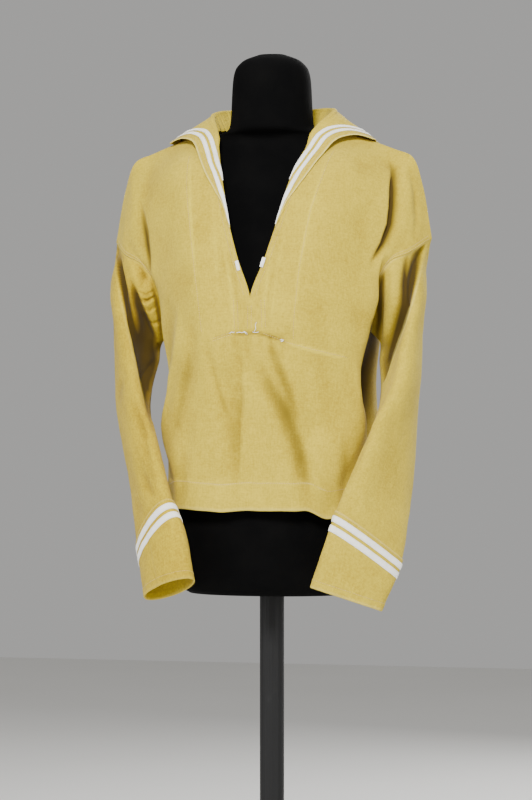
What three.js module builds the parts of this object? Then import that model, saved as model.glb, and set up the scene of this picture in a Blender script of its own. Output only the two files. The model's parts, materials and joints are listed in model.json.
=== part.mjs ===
// A sailor jumper on a limbless dress form, in millimetres. Front faces -Y, +Z is up, +X is the
// viewer's right, and the origin is the centre of the base's underside.
import * as THREE from 'three';

// Named sizes
const CLOTH = 2;
const TAPE = 1;
const SEAM_GAP = 0.35;
const LAY_GAP = 0.35;
const TAPE_WIDTH = 9.5;
const POLE_RADIUS = 16.5;
const BASE_RADIUS = 170;
const BASE_HEIGHT = 14;
const ROUND_COLUMNS = 24;
const BASE_COLUMNS = 36;
const FORM_BOTTOM = 650;
const SIDES = { left: -1, right: 1 };

const vec = (x, y, z) => new THREE.Vector3(x, y, z);
const mix = (a, b, t) => a + (b - a) * t;
const clamp01 = (t) => Math.min(1, Math.max(0, t));
const radians = THREE.MathUtils.degToRad;

// Body lines: each is a seam or a fold running up one half of the jumper, from hem to shoulder.
// Columns: x from the centre, y (front is negative), z. One row per level, hem first.
const FRONT_LINES = {
  centre: [
    [0, -121, 765], [0, -120, 800], [0, -118, 870], [0, -119, 940], [0, -122, 1000],
    [0, -122, 1046], [19, -116, 1100], [37, -103, 1160], [54, -77, 1222], [76, -12, 1277],
  ],
  chest: [
    [62, -122, 765], [62, -120, 800], [62, -117, 870], [62, -118, 940], [66, -122, 1000],
    [72, -121, 1050], [82, -113, 1108], [94, -98, 1168], [108, -68, 1226], [122, -4, 1266],
  ],
  crest: [
    [107, -101, 757], [108, -98, 798], [138, -68, 870], [134, -64, 940], [146, -64, 1003],
    [159, -60, 1046], [156, -58, 1095], [166, -48, 1150], [170, -36, 1195], [170, 4, 1249],
  ],
  corner: [
    [122, -78, 758], [122, -74, 799], [142, -50, 870], [132, -48, 940], [146, -48, 1002],
    [157, -50, 1046], [162, -54, 1092], [176, -44, 1136], [190, -26, 1182], [194, 3, 1238],
  ],
  turn: [
    [136, -48, 760], [134, -44, 800], [136, -30, 870], [124, -30, 940], [136, -32, 1001],
    [147, -38, 1044], [160, -48, 1086], [182, -42, 1118], [200, -24, 1152], [208, 2, 1200],
  ],
  side: [
    [148, 4, 760], [144, 4, 800], [130, 3, 870], [120, 2, 940], [138, 0, 1003],
    [146, -20, 1036], [153, -37, 1068], [172, -44, 1096], [197, -34, 1108], [221, 0, 1128],
  ],
};
// The left fold crest lies nearer the centre below the armhole. Same columns, levels 0 to 6.
const LEFT_CREST = [
  [105, -101, 767], [106, -98, 801], [136, -68, 870], [127, -64, 940], [134, -64, 990],
  [141, -61, 1046], [152, -57, 1095],
];
const LEFT_CORNER = [
  [119, -78, 764], [119, -74, 801], [138, -50, 870], [127, -48, 940], [137, -48, 996],
  [144, -50, 1046], [158, -53, 1092],
];
// The left of the back flares past the front fold. Levels 0 to 5 of its turn and corner lines.
const LEFT_BACK_TURN = [
  [151, 42, 760], [151, 42, 800], [158, 44, 870], [156, 44, 940], [156, 42, 1003], [152, 48, 1044],
];
const LEFT_BACK_CORNER = [
  [140, 72, 762], [140, 74, 800], [146, 76, 870], [146, 74, 940], [144, 72, 1003], [140, 70, 1052],
];
const BACK_LINES = {
  centre: [
    [0, 121, 768], [0, 117, 800], [0, 108, 870], [0, 102, 940], [0, 104, 1003],
    [0, 107, 1062], [0, 103, 1135], [0, 90, 1215], [0, 66, 1283], [54, 42, 1281],
    [76, -12, 1277],
  ],
  blade: [
    [62, 116, 767], [62, 112, 800], [60, 103, 870], [58, 96, 940], [62, 98, 1003],
    [64, 101, 1060], [66, 98, 1130], [66, 86, 1204], [62, 67, 1269], [98, 41, 1268],
    [122, -4, 1266],
  ],
  lobe: [
    [110, 100, 764], [108, 98, 800], [106, 92, 870], [104, 84, 940], [110, 84, 1003],
    [114, 86, 1056], [116, 88, 1122], [118, 80, 1185], [118, 62, 1240], [146, 38, 1249],
    [170, 4, 1249],
  ],
  corner: [
    [138, 70, 762], [134, 70, 800], [134, 66, 870], [131, 62, 940], [136, 64, 1003],
    [137, 68, 1052], [140, 74, 1108], [150, 72, 1160], [158, 58, 1206], [180, 34, 1220],
    [194, 3, 1238],
  ],
  turn: [
    [149, 38, 760], [145, 36, 800], [139, 36, 870], [133, 34, 940], [142, 34, 1003],
    [148, 46, 1044], [154, 58, 1090], [170, 62, 1128], [186, 52, 1160], [204, 28, 1172],
    [208, 2, 1200],
  ],
  side: [
    [148, 4, 760], [144, 4, 800], [130, 3, 870], [120, 2, 940], [138, 0, 1003],
    [149, 22, 1036], [158, 42, 1068], [176, 50, 1094], [196, 42, 1106], [212, 22, 1116],
    [221, 0, 1128],
  ],
};
const UNDERARM_LEVEL = 4;
const V_POINT_LEVEL = 5;
const BACK_NECK_LEVEL = 8;
const SLIT_HALF = 0.6;
// How many rows fill the interval above each level, and how many columns each line interval.
const FRONT_ROWS = [1, 2, 2, 2, 3, 2, 2, 2, 3];
const BACK_ROWS = [1, 2, 2, 2, 2, 2, 2, 2, 2, 2];
const COLUMNS = [3, 3, 2, 2, 2];

// Soft troughs (negative) and ridges (positive) drawn on the cloth between two points.
// Columns: face (-1 front, 1 back), x and z of one end, x and z of the other, width, rise.
const FOLDS = [
  [-1, 50, 985, 82, 872, 17, -7], [-1, 82, 872, 100, 775, 18, -6], [-1, -10, 985, -18, 780, 26, 3],
  [-1, -40, 938, -8, 886, 15, -4], [-1, -104, 985, -112, 800, 17, 5], [-1, 20, 960, 48, 800, 24, 4],
  [1, -70, 1040, -84, 790, 22, -6], [1, -20, 980, -30, 770, 24, 5], [1, 42, 1010, 52, 780, 22, -6],
  [1, 92, 960, 98, 780, 20, 4],
];

const openCurve = (points) => new THREE.CatmullRomCurve3(points, false, 'centripetal');

function curveAt(rows, level) {
  return openCurve(rows.map((r) => vec(...r))).getPoint(level / (rows.length - 1));
}

// The side line has a corner at the underarm, where the armhole leaves the side seam.
function linePoint(name, rows, level) {
  if (name !== 'side') {
    return curveAt(rows, level);
  }
  const below = level <= UNDERARM_LEVEL;
  return below ? curveAt(rows.slice(0, UNDERARM_LEVEL + 1), level)
    : curveAt(rows.slice(UNDERARM_LEVEL), level - UNDERARM_LEVEL);
}

function foldShift(face, point) {
  let shift = 0;
  for (const [side, x0, z0, x1, z1, width, rise] of FOLDS) {
    if (side !== face) {
      continue;
    }
    const a = new THREE.Vector2(x0, z0);
    const ab = new THREE.Vector2(x1, z1).sub(a);
    const p = new THREE.Vector2(point.x, point.z).sub(a);
    const t = clamp01(p.dot(ab) / ab.lengthSq());
    const off = p.distanceTo(ab.multiplyScalar(t)) / width;
    shift += rise * Math.exp(-off * off);
  }
  return shift * face;
}

// The six line points of one level, on one side, ready to be joined across.
function levelPoints(lines, level, side, face) {
  const left = side < 0;
  const swaps = face < 0 ? { crest: LEFT_CREST, corner: LEFT_CORNER }
    : { turn: LEFT_BACK_TURN, corner: LEFT_BACK_CORNER };
  return Object.entries(lines).map(([name, rows]) => {
    const swapped = left && swaps[name] ? swaps[name].concat(rows.slice(swaps[name].length)) : rows;
    const p = linePoint(name, swapped, level);
    const closed = face < 0 ? V_POINT_LEVEL : BACK_NECK_LEVEL;
    if (name === 'centre') {
      p.x = level <= closed ? 0 : Math.max(SLIT_HALF, p.x);
    }
    return vec(p.x * side, p.y, p.z);
  });
}

function levelsOf(rowCounts) {
  const levels = [];
  rowCounts.forEach((count, k) => {
    for (let i = 0; i < count; i += 1) {
      levels.push(k + i / count);
    }
  });
  levels.push(rowCounts.length);
  return levels;
}

// A half panel as rows of points, from hem to shoulder ridge, centre first.
function halfPanel(lines, rowCounts, side, face) {
  return levelsOf(rowCounts).map((level) => {
    const curve = openCurve(levelPoints(lines, level, side, face));
    const row = [];
    COLUMNS.forEach((count, k) => {
      for (let i = 0; i < count; i += 1) {
        row.push(curve.getPoint((k + i / count) / COLUMNS.length));
      }
    });
    row.push(curve.getPoint(1));
    return row.map((p) => vec(p.x, p.y + foldShift(face, p), p.z));
  });
}

const KEYS_PER_MM = 500;
const keyOf = (p) => p.toArray().map((v) => Math.round(v * KEYS_PER_MM)).join();

// Outward normals shared by every grid that meets at a point.
function sharedNormals(grids) {
  const sums = new Map();
  const add = (a, b, c) => {
    const n = new THREE.Vector3().subVectors(b, a).cross(new THREE.Vector3().subVectors(c, a));
    for (const p of [a, b, c]) {
      const key = keyOf(p);
      if (!sums.has(key)) {
        sums.set(key, vec(0, 0, 0));
      }
      sums.get(key).add(n);
    }
  };
  for (const grid of grids) {
    eachQuad(grid, (a, b, c, d) => {
      add(a, b, c);
      add(a, c, d);
    });
  }
  sums.forEach((n) => n.normalize());
  return (p) => sums.get(keyOf(p));
}

function eachQuad(grid, use) {
  for (let r = 0; r + 1 < grid.rows.length; r += 1) {
    const count = grid.rows[r].length;
    const last = grid.closed ? count : count - 1;
    for (let c = 0; c < last; c += 1) {
      const quad = [grid.rows[r][c], grid.rows[r][(c + 1) % count],
        grid.rows[r + 1][(c + 1) % count], grid.rows[r + 1][c]];
      use(...(grid.flip ? quad.reverse() : quad));
    }
  }
}

// A closed wall: the given grids outside, the same grids moved in by the thickness, and rims.
function wallGeometry(grids, normalAt, thickness, lift = 0) {
  const outer = [];
  const inner = [];
  const index = new Map();
  const idOf = (p) => {
    const key = keyOf(p);
    if (!index.has(key)) {
      const n = normalAt(p);
      index.set(key, outer.length);
      outer.push(p.clone().addScaledVector(n, lift));
      inner.push(p.clone().addScaledVector(n, lift - thickness));
    }
    return index.get(key);
  };
  const faces = [];
  for (const grid of grids) {
    eachQuad(grid, (a, b, c, d) => {
      const [i, j, k, l] = [idOf(a), idOf(b), idOf(c), idOf(d)];
      faces.push([i, j, k], [i, k, l]);
    });
  }
  const real = faces.filter(([i, j, k]) => i !== j && j !== k && k !== i);
  const shift = outer.length;
  const edges = new Set();
  real.forEach(([i, j, k]) => [[i, j], [j, k], [k, i]].forEach(([a, b]) => edges.add(`${a}_${b}`)));
  const all = [];
  real.forEach(([i, j, k]) => {
    all.push(i, j, k, k + shift, j + shift, i + shift);
    [[i, j], [j, k], [k, i]].forEach(([a, b]) => {
      if (!edges.has(`${b}_${a}`)) {
        all.push(b, a, a + shift, b, a + shift, b + shift);
      }
    });
  });
  return indexed(outer.concat(inner), all);
}

function indexed(points, faces) {
  const geometry = new THREE.BufferGeometry();
  geometry.setAttribute('position', new THREE.Float32BufferAttribute(points.flatMap((p) => p.toArray()), 3));
  geometry.setIndex(faces);
  geometry.computeVertexNormals();
  return geometry;
}

// A solid of stacked closed rings, capped at both ends.
function ringSolid(rings) {
  const count = rings[0].length;
  const points = rings.flat();
  const faces = [];
  for (let r = 0; r + 1 < rings.length; r += 1) {
    for (let c = 0; c < count; c += 1) {
      const [a, b] = [r * count + c, r * count + (c + 1) % count];
      faces.push(a, b, b + count, a, b + count, a + count);
    }
  }
  const cap = (ring, base, up) => {
    const centre = ring.reduce((s, p) => s.add(p), vec(0, 0, 0)).divideScalar(count);
    points.push(centre);
    for (let c = 0; c < count; c += 1) {
      const pair = [base + c, base + (c + 1) % count];
      faces.push(...(up ? pair : pair.reverse()), points.length - 1);
    }
  };
  cap(rings[0], 0, false);
  cap(rings[rings.length - 1], (rings.length - 1) * count, true);
  return indexed(points, faces);
}

// Body: the whole skin of the jumper, both halves, front and back
function bodySkin() {
  const skin = {};
  for (const [name, side] of Object.entries(SIDES)) {
    skin[`front_${name}`] = { rows: halfPanel(FRONT_LINES, FRONT_ROWS, side, -1), flip: side < 0 };
    skin[`back_${name}`] = { rows: halfPanel(BACK_LINES, BACK_ROWS, side, 1), flip: side > 0 };
  }
  return skin;
}

// The armhole as one ring: from the seam tip down the front to the underarm and up the back.
function armholeRing(skin, name) {
  const front = skin[`front_${name}`].rows.map((row) => row[row.length - 1]);
  const back = skin[`back_${name}`].rows.map((row) => row[row.length - 1]);
  const frontStart = levelsOf(FRONT_ROWS).indexOf(UNDERARM_LEVEL);
  const backStart = levelsOf(BACK_ROWS).indexOf(UNDERARM_LEVEL);
  const down = front.slice(frontStart).reverse();
  const up = back.slice(backStart, -1);
  return down.concat(up.slice(1));
}

// Sleeves. Columns: x, y, z of the centre, half width across, half width front to back, turn of
// the front edge towards the centre in degrees, drop of the inner face, rise of the front edge,
// depth of the groove beside the front edge.
const SLEEVES = {
  right: [
    [181, 4, 1030, 30, 50, -20, 45, 0, 8], [179, 0, 985, 29, 57, -14, 20, 0, 9],
    [181, -12, 935, 27, 60, -6, 5, 0, 6], [177, -35, 880, 23, 60, 10, 0, 4, 3],
    [172, -68, 822, 20, 59, 24, 0, 9, 0], [163, -100, 765, 17, 56, 40, 0, 13, 0],
    [154, -124, 712, 16, 52, 56, 0, 16, 0], [133, -138, 652, 15.5, 46, 68, 0, 15.5, 0],
  ],
  left: [
    [193, 4, 1030, 33, 50, 0, 45, 0, 8], [192, 0, 985, 31, 56, 10, 20, 0, 9],
    [190, -16, 940, 26, 60, 20, 5, 0, 6], [184, -38, 900, 22, 60, 27, 0, 3, 3],
    [169, -64, 857, 19, 55, 32, 0, 8, 0], [152, -86, 810, 18, 50, 36, 0, 12, 0],
    [138, -106, 768, 18, 47, 42, 0, 14, 0], [122, -122, 724, 18, 47, 52, 0, 15, 0],
    [107, -134, 661, 18, 45, 56, 5, 15.5, 0],
  ],
};
const GROOVE_AT = 130;
const GROOVE_SPREAD = 28;
const GROOVE_OUT = 0.8;
const GROOVE_FORE = -0.6;
const SLEEVE_ROWS = 10;
const ELBOW_ROW = 6;
const TIP_GAP = 1.1;
const UNDERARM_GAP = 4 * SEAM_GAP;
const ELBOW_GAP = 2 * SEAM_GAP;
// Angle round the sleeve of each armhole level: front ridge to underarm, then up the back.
const FRONT_ANGLES = [0, 38, 75, 110, 145, 180];
const BACK_ANGLES = [180, 205, 236, 266, 296, 328, 360];

function armholeAngles() {
  const angles = [];
  const fill = (marks, counts) => {
    counts.forEach((count, k) => {
      for (let i = 0; i < count; i += 1) {
        angles.push(mix(marks[k], marks[k + 1], i / count));
      }
    });
  };
  fill(FRONT_ANGLES, FRONT_ROWS.slice(UNDERARM_LEVEL).reverse());
  fill(BACK_ANGLES, BACK_ROWS.slice(UNDERARM_LEVEL));
  return angles;
}

function stationPoint(station, degrees, side) {
  const [x, y, z, across, deep, turn, drop, rise, groove] = station;
  const a = radians(degrees);
  const t = radians(turn);
  const off = (degrees - GROOVE_AT) / GROOVE_SPREAD;
  const pull = groove * Math.exp(-off * off);
  const out = across * Math.cos(a) + pull * GROOVE_OUT;
  const fore = deep * Math.sin(a) + pull * GROOVE_FORE;
  const px = x + out * Math.cos(t) - fore * Math.sin(t);
  const py = y - out * Math.sin(t) - fore * Math.cos(t);
  return vec(px * side, py, z + drop * Math.cos(a) + rise * Math.sin(a));
}

// One lengthwise curve of the sleeve for each column of the armhole ring.
function sleeveCurves(ring, name) {
  const angles = armholeAngles();
  return ring.map((start, c) => {
    const stations = SLEEVES[name].map((s) => stationPoint(s, angles[c], SIDES[name]));
    const tip = clamp01(Math.cos(radians(angles[c])));
    const open = mix(UNDERARM_GAP, SEAM_GAP + TIP_GAP, tip);
    const first = start.clone().lerp(stations[0], open / start.distanceTo(stations[0]));
    return openCurve([first, ...stations]);
  });
}

// Cuffs. Length of the cuff at mid height and how much its slanting top edge adds at the front
// edge, both along the sleeve. The tape rows are measured down from that edge.
const CUFFS = { right: { length: 90, slant: 12 }, left: { length: 91, slant: 21 } };
const CUFF_TAPE_STARTS = [6, 19.5];
const ROWS_UNDER_CUFF = 5;

function fromEnd(curve, distance) {
  return curve.getPointAt(1 - distance / curve.getLength());
}

// Length along one sleeve column from the cuff's slanting top edge to the sleeve end.
function cuffLengths(name) {
  const { length, slant } = CUFFS[name];
  return armholeAngles().map((a) => length + slant * Math.sin(radians(a)));
}

function cuffRows(curves, name) {
  const [first, second] = CUFF_TAPE_STARTS;
  const lengths = cuffLengths(name);
  const marks = [0, first, first + TAPE_WIDTH, second, second + TAPE_WIDTH];
  const rows = marks.map((m) => curves.map((curve, c) => fromEnd(curve, lengths[c] - m)));
  const last = marks[marks.length - 1];
  const halfway = curves.map((curve, c) => fromEnd(curve, (lengths[c] - last) / 2));
  return rows.concat([halfway, curves.map((curve) => curve.getPoint(1))]);
}

// The sleeve runs on under its cuff as far as the lower tape.
function sleeveGrid(curves, name) {
  const rows = [];
  const lengths = cuffLengths(name);
  for (let r = 0; r < SLEEVE_ROWS; r += 1) {
    rows.push(curves.map((curve, c) => {
      const free = 1 - lengths[c] / curve.getLength();
      return curve.getPointAt(free * (r / SLEEVE_ROWS));
    }));
  }
  const under = cuffRows(curves, name).slice(0, ROWS_UNDER_CUFF);
  return { rows: rows.concat(under), closed: true, flip: SIDES[name] < 0 };
}

// The two lengths of a sleeve, parted at the elbow, both with the whole sleeve's normals.
function partedSleeve(grid) {
  const normalAt = sharedNormals([grid]);
  const seam = grid.rows[ELBOW_ROW];
  const above = grid.rows[ELBOW_ROW - 1];
  const drawn = seam.map((p, c) => p.clone().lerp(above[c], ELBOW_GAP / p.distanceTo(above[c])));
  const moved = new Map(drawn.map((p, c) => [keyOf(p), normalAt(seam[c])]));
  const upper = { ...grid, rows: [...grid.rows.slice(0, ELBOW_ROW), drawn] };
  const lower = { ...grid, rows: grid.rows.slice(ELBOW_ROW) };
  return { upper, lower, normalAt: (p) => moved.get(keyOf(p)) ?? normalAt(p) };
}

function cuffGrid(curves, name) {
  return { rows: cuffRows(curves, name), closed: true, flip: SIDES[name] < 0 };
}

// Form. Columns: z, half width, front depth, back depth.
const FORM_RINGS = [
  [650, 112, 90, 90], [655, 121, 98, 97], [668, 129, 105, 104], [705, 140, 108, 110],
  [760, 141, 106, 108], [810, 135, 104, 104], [870, 120, 98, 96], [940, 110, 96, 90],
  [1003, 126, 100, 92], [1070, 140, 100, 95], [1140, 154, 84, 88], [1190, 161, 70, 80],
  [1215, 160, 56, 70], [1239, 150, 41, 53], [1253.3, 136, 30, 41], [1263.3, 112, 26, 38],
  [1270.3, 84, 30, 40], [1275, 64, 42, 46], [1281, 56, 48, 50], [1346, 53, 48, 50],
  [1362, 49, 44, 45], [1373, 38, 34, 35], [1380, 18, 16, 16],
];
const FORM_ROUNDNESS = 2.25;

function formSolid() {
  const rings = FORM_RINGS.map(([z, half, front, back]) => {
    const ring = [];
    for (let c = 0; c < ROUND_COLUMNS; c += 1) {
      const a = (c / ROUND_COLUMNS) * Math.PI * 2;
      const [ca, sa] = [Math.cos(a), Math.sin(a)];
      const power = 2 / FORM_ROUNDNESS;
      const x = half * Math.sign(ca) * Math.abs(ca) ** power;
      const deep = sa < 0 ? front : back;
      ring.push(vec(x, deep * Math.sign(sa) * Math.abs(sa) ** power, z));
    }
    return ring;
  });
  return ringSolid(rings);
}

function discRing(radius, z, count) {
  const ring = [];
  for (let c = 0; c < count; c += 1) {
    const a = (c / count) * Math.PI * 2;
    ring.push(vec(radius * Math.cos(a), radius * Math.sin(a), z));
  }
  return ring;
}

// The base's rounded rim, as how far in and how far below the top, then its flat top.
const BASE_RIM = [[0, BASE_HEIGHT], [0, 6], [6, 1], [14, 0]];
const BASE_COLLAR = 12;

function poleSolid() {
  const ends = [BASE_HEIGHT + SEAM_GAP, FORM_BOTTOM - SEAM_GAP];
  return ringSolid(ends.map((z) => discRing(POLE_RADIUS, z, ROUND_COLUMNS)));
}

function baseSolid() {
  const rim = BASE_RIM.map(([inset, below]) => (
    discRing(BASE_RADIUS - inset, BASE_HEIGHT - below, BASE_COLUMNS)));
  return ringSolid(rim.concat([discRing(POLE_RADIUS + BASE_COLLAR, BASE_HEIGHT, BASE_COLUMNS)]));
}

// Collar. One row per station along the outer edge, from the V up over the shoulder and round
// the back. Columns: outer edge x, y, z; roll line x, y, z; neck seam x, y, z; clearance; and
// how far the stand has turned from under the V edge (0) to standing at the neck (1).
const COLLAR = [
  [35, -106, 1142, 31, -109, 1140, 31, -109, 1140, 0.6, 0],
  [47, -99, 1175, 41, -101, 1172, 41, -101, 1172, 0.9, 0],
  [58, -91, 1194, 47, -91, 1193, 47, -91, 1193, 1, 0],
  [70, -82, 1211, 51.5, -83, 1210, 51.5, -83, 1210, 1.4, 0],
  [80, -72, 1229, 54.5, -74, 1227, 55, -74, 1227, 2, 0.05],
  [88, -60, 1244, 58, -60, 1246, 60, -60, 1246, 2.4, 0.2],
  [97, -46, 1258, 63, -44, 1268, 66, -42, 1262, 3, 0.4],
  [107, -33, 1265, 71, -28, 1283, 71, -28, 1271, 3, 0.6],
  [124, -20, 1268, 79, -12, 1294, 75, -16, 1276, 3, 0.8],
  [142, -8, 1263, 84, 4, 1302, 76, -6, 1278, 2.5, 1],
  [142, 14, 1262, 84, 14, 1305, 74, 6, 1279, 2, 1],
  [141, 40, 1246, 81, 27, 1308, 70, 18, 1280, 5.5, 1],
  [140, 66, 1212, 75, 39, 1310, 65, 29, 1281, 5.5, 1],
  [140, 78, 1176, 68, 49, 1311, 59, 38, 1282, 5.5, 1],
  [140, 80, 1134, 61, 56, 1312, 53, 45, 1282, 5.5, 1],
  [140, 78, 1092, 54, 62, 1312, 47, 50, 1283, 5.5, 1],
  [140, 76, 1058, 46, 66, 1312, 40, 55, 1283, 5.5, 1],
  [105, 90, 1058, 36, 70, 1312, 31, 59, 1283, 5.5, 1],
  [70, 100, 1058, 24, 73, 1312, 21, 62, 1283, 5.5, 1],
  [35, 106, 1058, 12, 75, 1312, 10.5, 63.5, 1283, 5.5, 1],
  [0, 107, 1058, 0, 76, 1312, 0, 64, 1283, 5.5, 1],
];
const COLLAR_TAPE_BANDS = [[10, 17], [20.5, 27.5]];
const COLLAR_MARKS = [0, ...COLLAR_TAPE_BANDS.flat()];
const FALL_COLUMNS = 6;
const ARC_ANGLES = [45, 90, 135];
const STAND_GAP = 2.6;
const STAND_RISE = 0.5;
const ROLL_RADIUS = 3.6;
// From this much of a turn the collar stands at the neck instead of lying under the V edge.
const STANDS_FROM = 0.35;
// Below that, its inner end is tucked under by this length, less as the stand turns.
const TUCK = { least: 1, most: 8, loss: 35 };
// Falls longer than this bend, so that the tapes keep their distance from the edge.
const WIDE_FALL = { from: 45, to: 90 };
const MITRE_LIMIT = 0.6;
const SQUEEZE = 0.6;

// Nearest point and normal on the faceted body skin.
function nearestOn(triangles, point) {
  let best = null;
  let far = Infinity;
  const hit = vec(0, 0, 0);
  for (const tri of triangles) {
    tri.face.closestPointToPoint(point, hit);
    const d = hit.distanceToSquared(point);
    if (d < far) {
      far = d;
      best = { at: hit.clone(), tri };
    }
  }
  const w = vec(0, 0, 0);
  best.tri.face.getBarycoord(best.at, w);
  const [na, nb, nc] = best.tri.normals;
  const normal = na.clone().multiplyScalar(w.x).addScaledVector(nb, w.y).addScaledVector(nc, w.z);
  return { at: best.at, normal: normal.normalize() };
}

function trianglesOf(grids, normalAt) {
  const list = [];
  const add = (a, b, c) => list.push({
    face: new THREE.Triangle(a, b, c), normals: [normalAt(a), normalAt(b), normalAt(c)],
  });
  grids.forEach((grid) => eachQuad(grid, (a, b, c, d) => {
    add(a, b, c);
    add(a, c, d);
  }));
  return list;
}

function pushOut(triangles, point, clearance) {
  const { at, normal } = nearestOn(triangles, point);
  const gap = new THREE.Vector3().subVectors(point, at).dot(normal);
  return gap < clearance ? at.clone().addScaledVector(normal, clearance) : point.clone();
}

// The jumper's own neck edge on one side, from the point of the V to the middle of the back.
function neckEdge(skin, normalAt) {
  const front = skin.front_right.rows.map((row) => row[0]);
  const back = skin.back_right.rows.map((row) => row[0]);
  const start = levelsOf(FRONT_ROWS).indexOf(V_POINT_LEVEL);
  const end = levelsOf(BACK_ROWS).indexOf(BACK_NECK_LEVEL);
  const points = front.slice(start).concat(back.slice(end, -1).reverse());
  return points.map((p) => ({ at: p, normal: normalAt(p) }));
}

function nearestOnEdge(edge, point) {
  let best = null;
  let far = Infinity;
  for (let i = 0; i + 1 < edge.length; i += 1) {
    const line = new THREE.Line3(edge[i].at, edge[i + 1].at);
    const t = line.closestPointToPointParameter(point, true);
    const at = line.at(t, vec(0, 0, 0));
    const d = at.distanceToSquared(point);
    if (d < far) {
      far = d;
      best = { at, normal: edge[i].normal.clone().lerp(edge[i + 1].normal, t).normalize() };
    }
  }
  return best;
}

// One row of the collar, from the outer edge over the roll to the end of the stand.
function collarRow(station, index, triangles, neck) {
  const [ox, oy, oz, rx, ry, rz, nx, ny, nz, clear, stand] = station;
  const cloth = clear + CLOTH;
  const edge = pushOut(triangles, vec(ox, oy, oz), cloth);
  const standing = stand > STANDS_FROM;
  const seam = nearestOnEdge(neck, vec(nx, ny, nz));
  const toward = inwardOf(index, seam.normal, stand);
  const up = vec(0, 0, 1);
  const top = toward.clone().lerp(up, stand).normalize();
  const fall = standing ? toward.clone().negate() : seam.normal.clone();
  fall.addScaledVector(top, -fall.dot(top)).normalize();
  const radius = standing ? ROLL_RADIUS : (cloth + 2 * CLOTH + 2 * LAY_GAP) / 2;
  const centre = standing ? vec(rx, ry, rz).addScaledVector(top, -radius)
    : seam.at.clone().addScaledVector(seam.normal, cloth - radius).addScaledVector(top, STAND_GAP);
  const start = centre.clone().addScaledVector(fall, radius);
  const row = collarFall(edge, start, edgeInward(index), triangles, cloth);
  for (const degrees of ARC_ANGLES) {
    const a = radians(degrees);
    row.push(centre.clone().addScaledVector(fall, radius * Math.cos(a))
      .addScaledVector(top, radius * Math.sin(a)));
  }
  const under = centre.clone().addScaledVector(fall, -radius);
  const tuck = Math.max(TUCK.least, TUCK.most - stand * TUCK.loss);
  const tucked = under.clone().addScaledVector(top, -tuck);
  const neckEnd = seam.at.clone().addScaledVector(toward, STAND_GAP).addScaledVector(up, STAND_RISE);
  row.push(under, standing ? neckEnd : tucked);
  return row;
}

// Across the outer edge into the collar at a station, mitred at its back corner.
function edgeInward(index) {
  const at = (i) => vec(...COLLAR[Math.min(COLLAR.length - 1, Math.max(0, i))].slice(0, 3));
  const toward = vec(...COLLAR[index].slice(3, 6)).sub(at(index)).normalize();
  const sides = [at(index).sub(at(index - 1)), at(index + 1).sub(at(index))];
  const inwards = sides.filter((s) => s.length() > 0).map((s) => {
    const along = s.normalize();
    return toward.clone().addScaledVector(along, -toward.dot(along)).normalize();
  });
  const middle = inwards.reduce((sum, v) => sum.add(v), vec(0, 0, 0)).normalize();
  return middle.divideScalar(Math.max(MITRE_LIMIT, middle.dot(inwards[0])));
}

// Direction from the neck edge towards the opening: along the cloth beside the V, level at the
// neck.
function inwardOf(index, normal, stand) {
  const at = (i) => vec(...COLLAR[Math.min(COLLAR.length - 1, Math.max(0, i))].slice(6, 9));
  if (index === COLLAR.length - 1) {
    return vec(0, -1, 0);
  }
  const along = at(index + 1).sub(at(index - 1));
  const inward = normal.clone().cross(along).normalize();
  inward.z *= 1 - stand;
  return inward.normalize();
}

// The fall: tape bands kept at true distances from the outer edge, squeezed near the V.
function collarFall(edge, start, inward, triangles, cloth) {
  const length = edge.distanceTo(start);
  const count = COLLAR_MARKS.length;
  const bend = clamp01((length - WIDE_FALL.from) / (WIDE_FALL.to - WIDE_FALL.from));
  const points = COLLAR_MARKS.map((mark, i) => {
    const space = Math.min(mark, (length * (i + SQUEEZE)) / (count + 1 + SQUEEZE));
    const straight = edge.clone().lerp(start, space / length);
    const level = edge.clone().addScaledVector(inward, mark);
    return i === 0 ? edge.clone() : straight.lerp(level, bend);
  });
  const last = points[count - 1];
  for (let i = 1; i < FALL_COLUMNS; i += 1) {
    points.push(last.clone().lerp(start, i / FALL_COLUMNS));
  }
  return points.map((p) => pushOut(triangles, p, cloth)).concat([start.clone()]);
}

function collarGrids(skin, normalAt) {
  const right = [skin.front_right, skin.back_right];
  const triangles = trianglesOf(right, normalAt);
  const neck = neckEdge(skin, normalAt);
  const rows = COLLAR.map((station, i) => collarRow(station, i, triangles, neck));
  rows[rows.length - 1].forEach((p) => p.setX(0));
  const mirrored = rows.map((row) => row.map((p) => vec(-p.x, p.y, p.z)));
  return [{ rows, flip: true }, { rows: mirrored, flip: false }];
}

// A tape laid on a grid: the quads between two columns, moved out.
function bandGrids(grids, from, first) {
  return grids.map((grid) => ({
    rows: grid.rows.slice(first).map((row) => row.slice(from, from + 2)), flip: grid.flip,
  }));
}

// Small folded tabs at the edges of the V
const LOOP_SIZE = { wide: 4.2, tall: 13, thick: 2.4, lean: 16, tip: -8 };
const LOOPS = { left: { x: -17.5, y: -119.4, z: 1089 }, right: { x: 16.5, y: -118.7, z: 1093 } };

function loopSolid(name) {
  const { wide, tall, thick, lean, tip } = LOOP_SIZE;
  const shape = new THREE.BoxGeometry(wide, thick, tall, 1, 1, 3);
  shape.rotateY(SIDES[name] * radians(lean));
  shape.rotateX(radians(tip));
  const at = LOOPS[name];
  shape.translate(at.x, at.y, at.z);
  return shape;
}

const CLOTH_COLOR = 0xccb872;
const SLEEVE_COLOR = 0xc9b570;
const TAPE_COLOR = 0xf5f5f0;
const FORM_COLOR = 0x141414;
const STAND_COLOR = 0x101010;
const STAND_METALNESS = 0.6;
const ROUGHNESS = 0.9;

function addPart(group, name, geometry, color, metalness = 0) {
  const material = new THREE.MeshStandardMaterial({ color, roughness: ROUGHNESS, metalness });
  const mesh = new THREE.Mesh(geometry, material);
  mesh.name = name;
  group.add(mesh);
}

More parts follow.
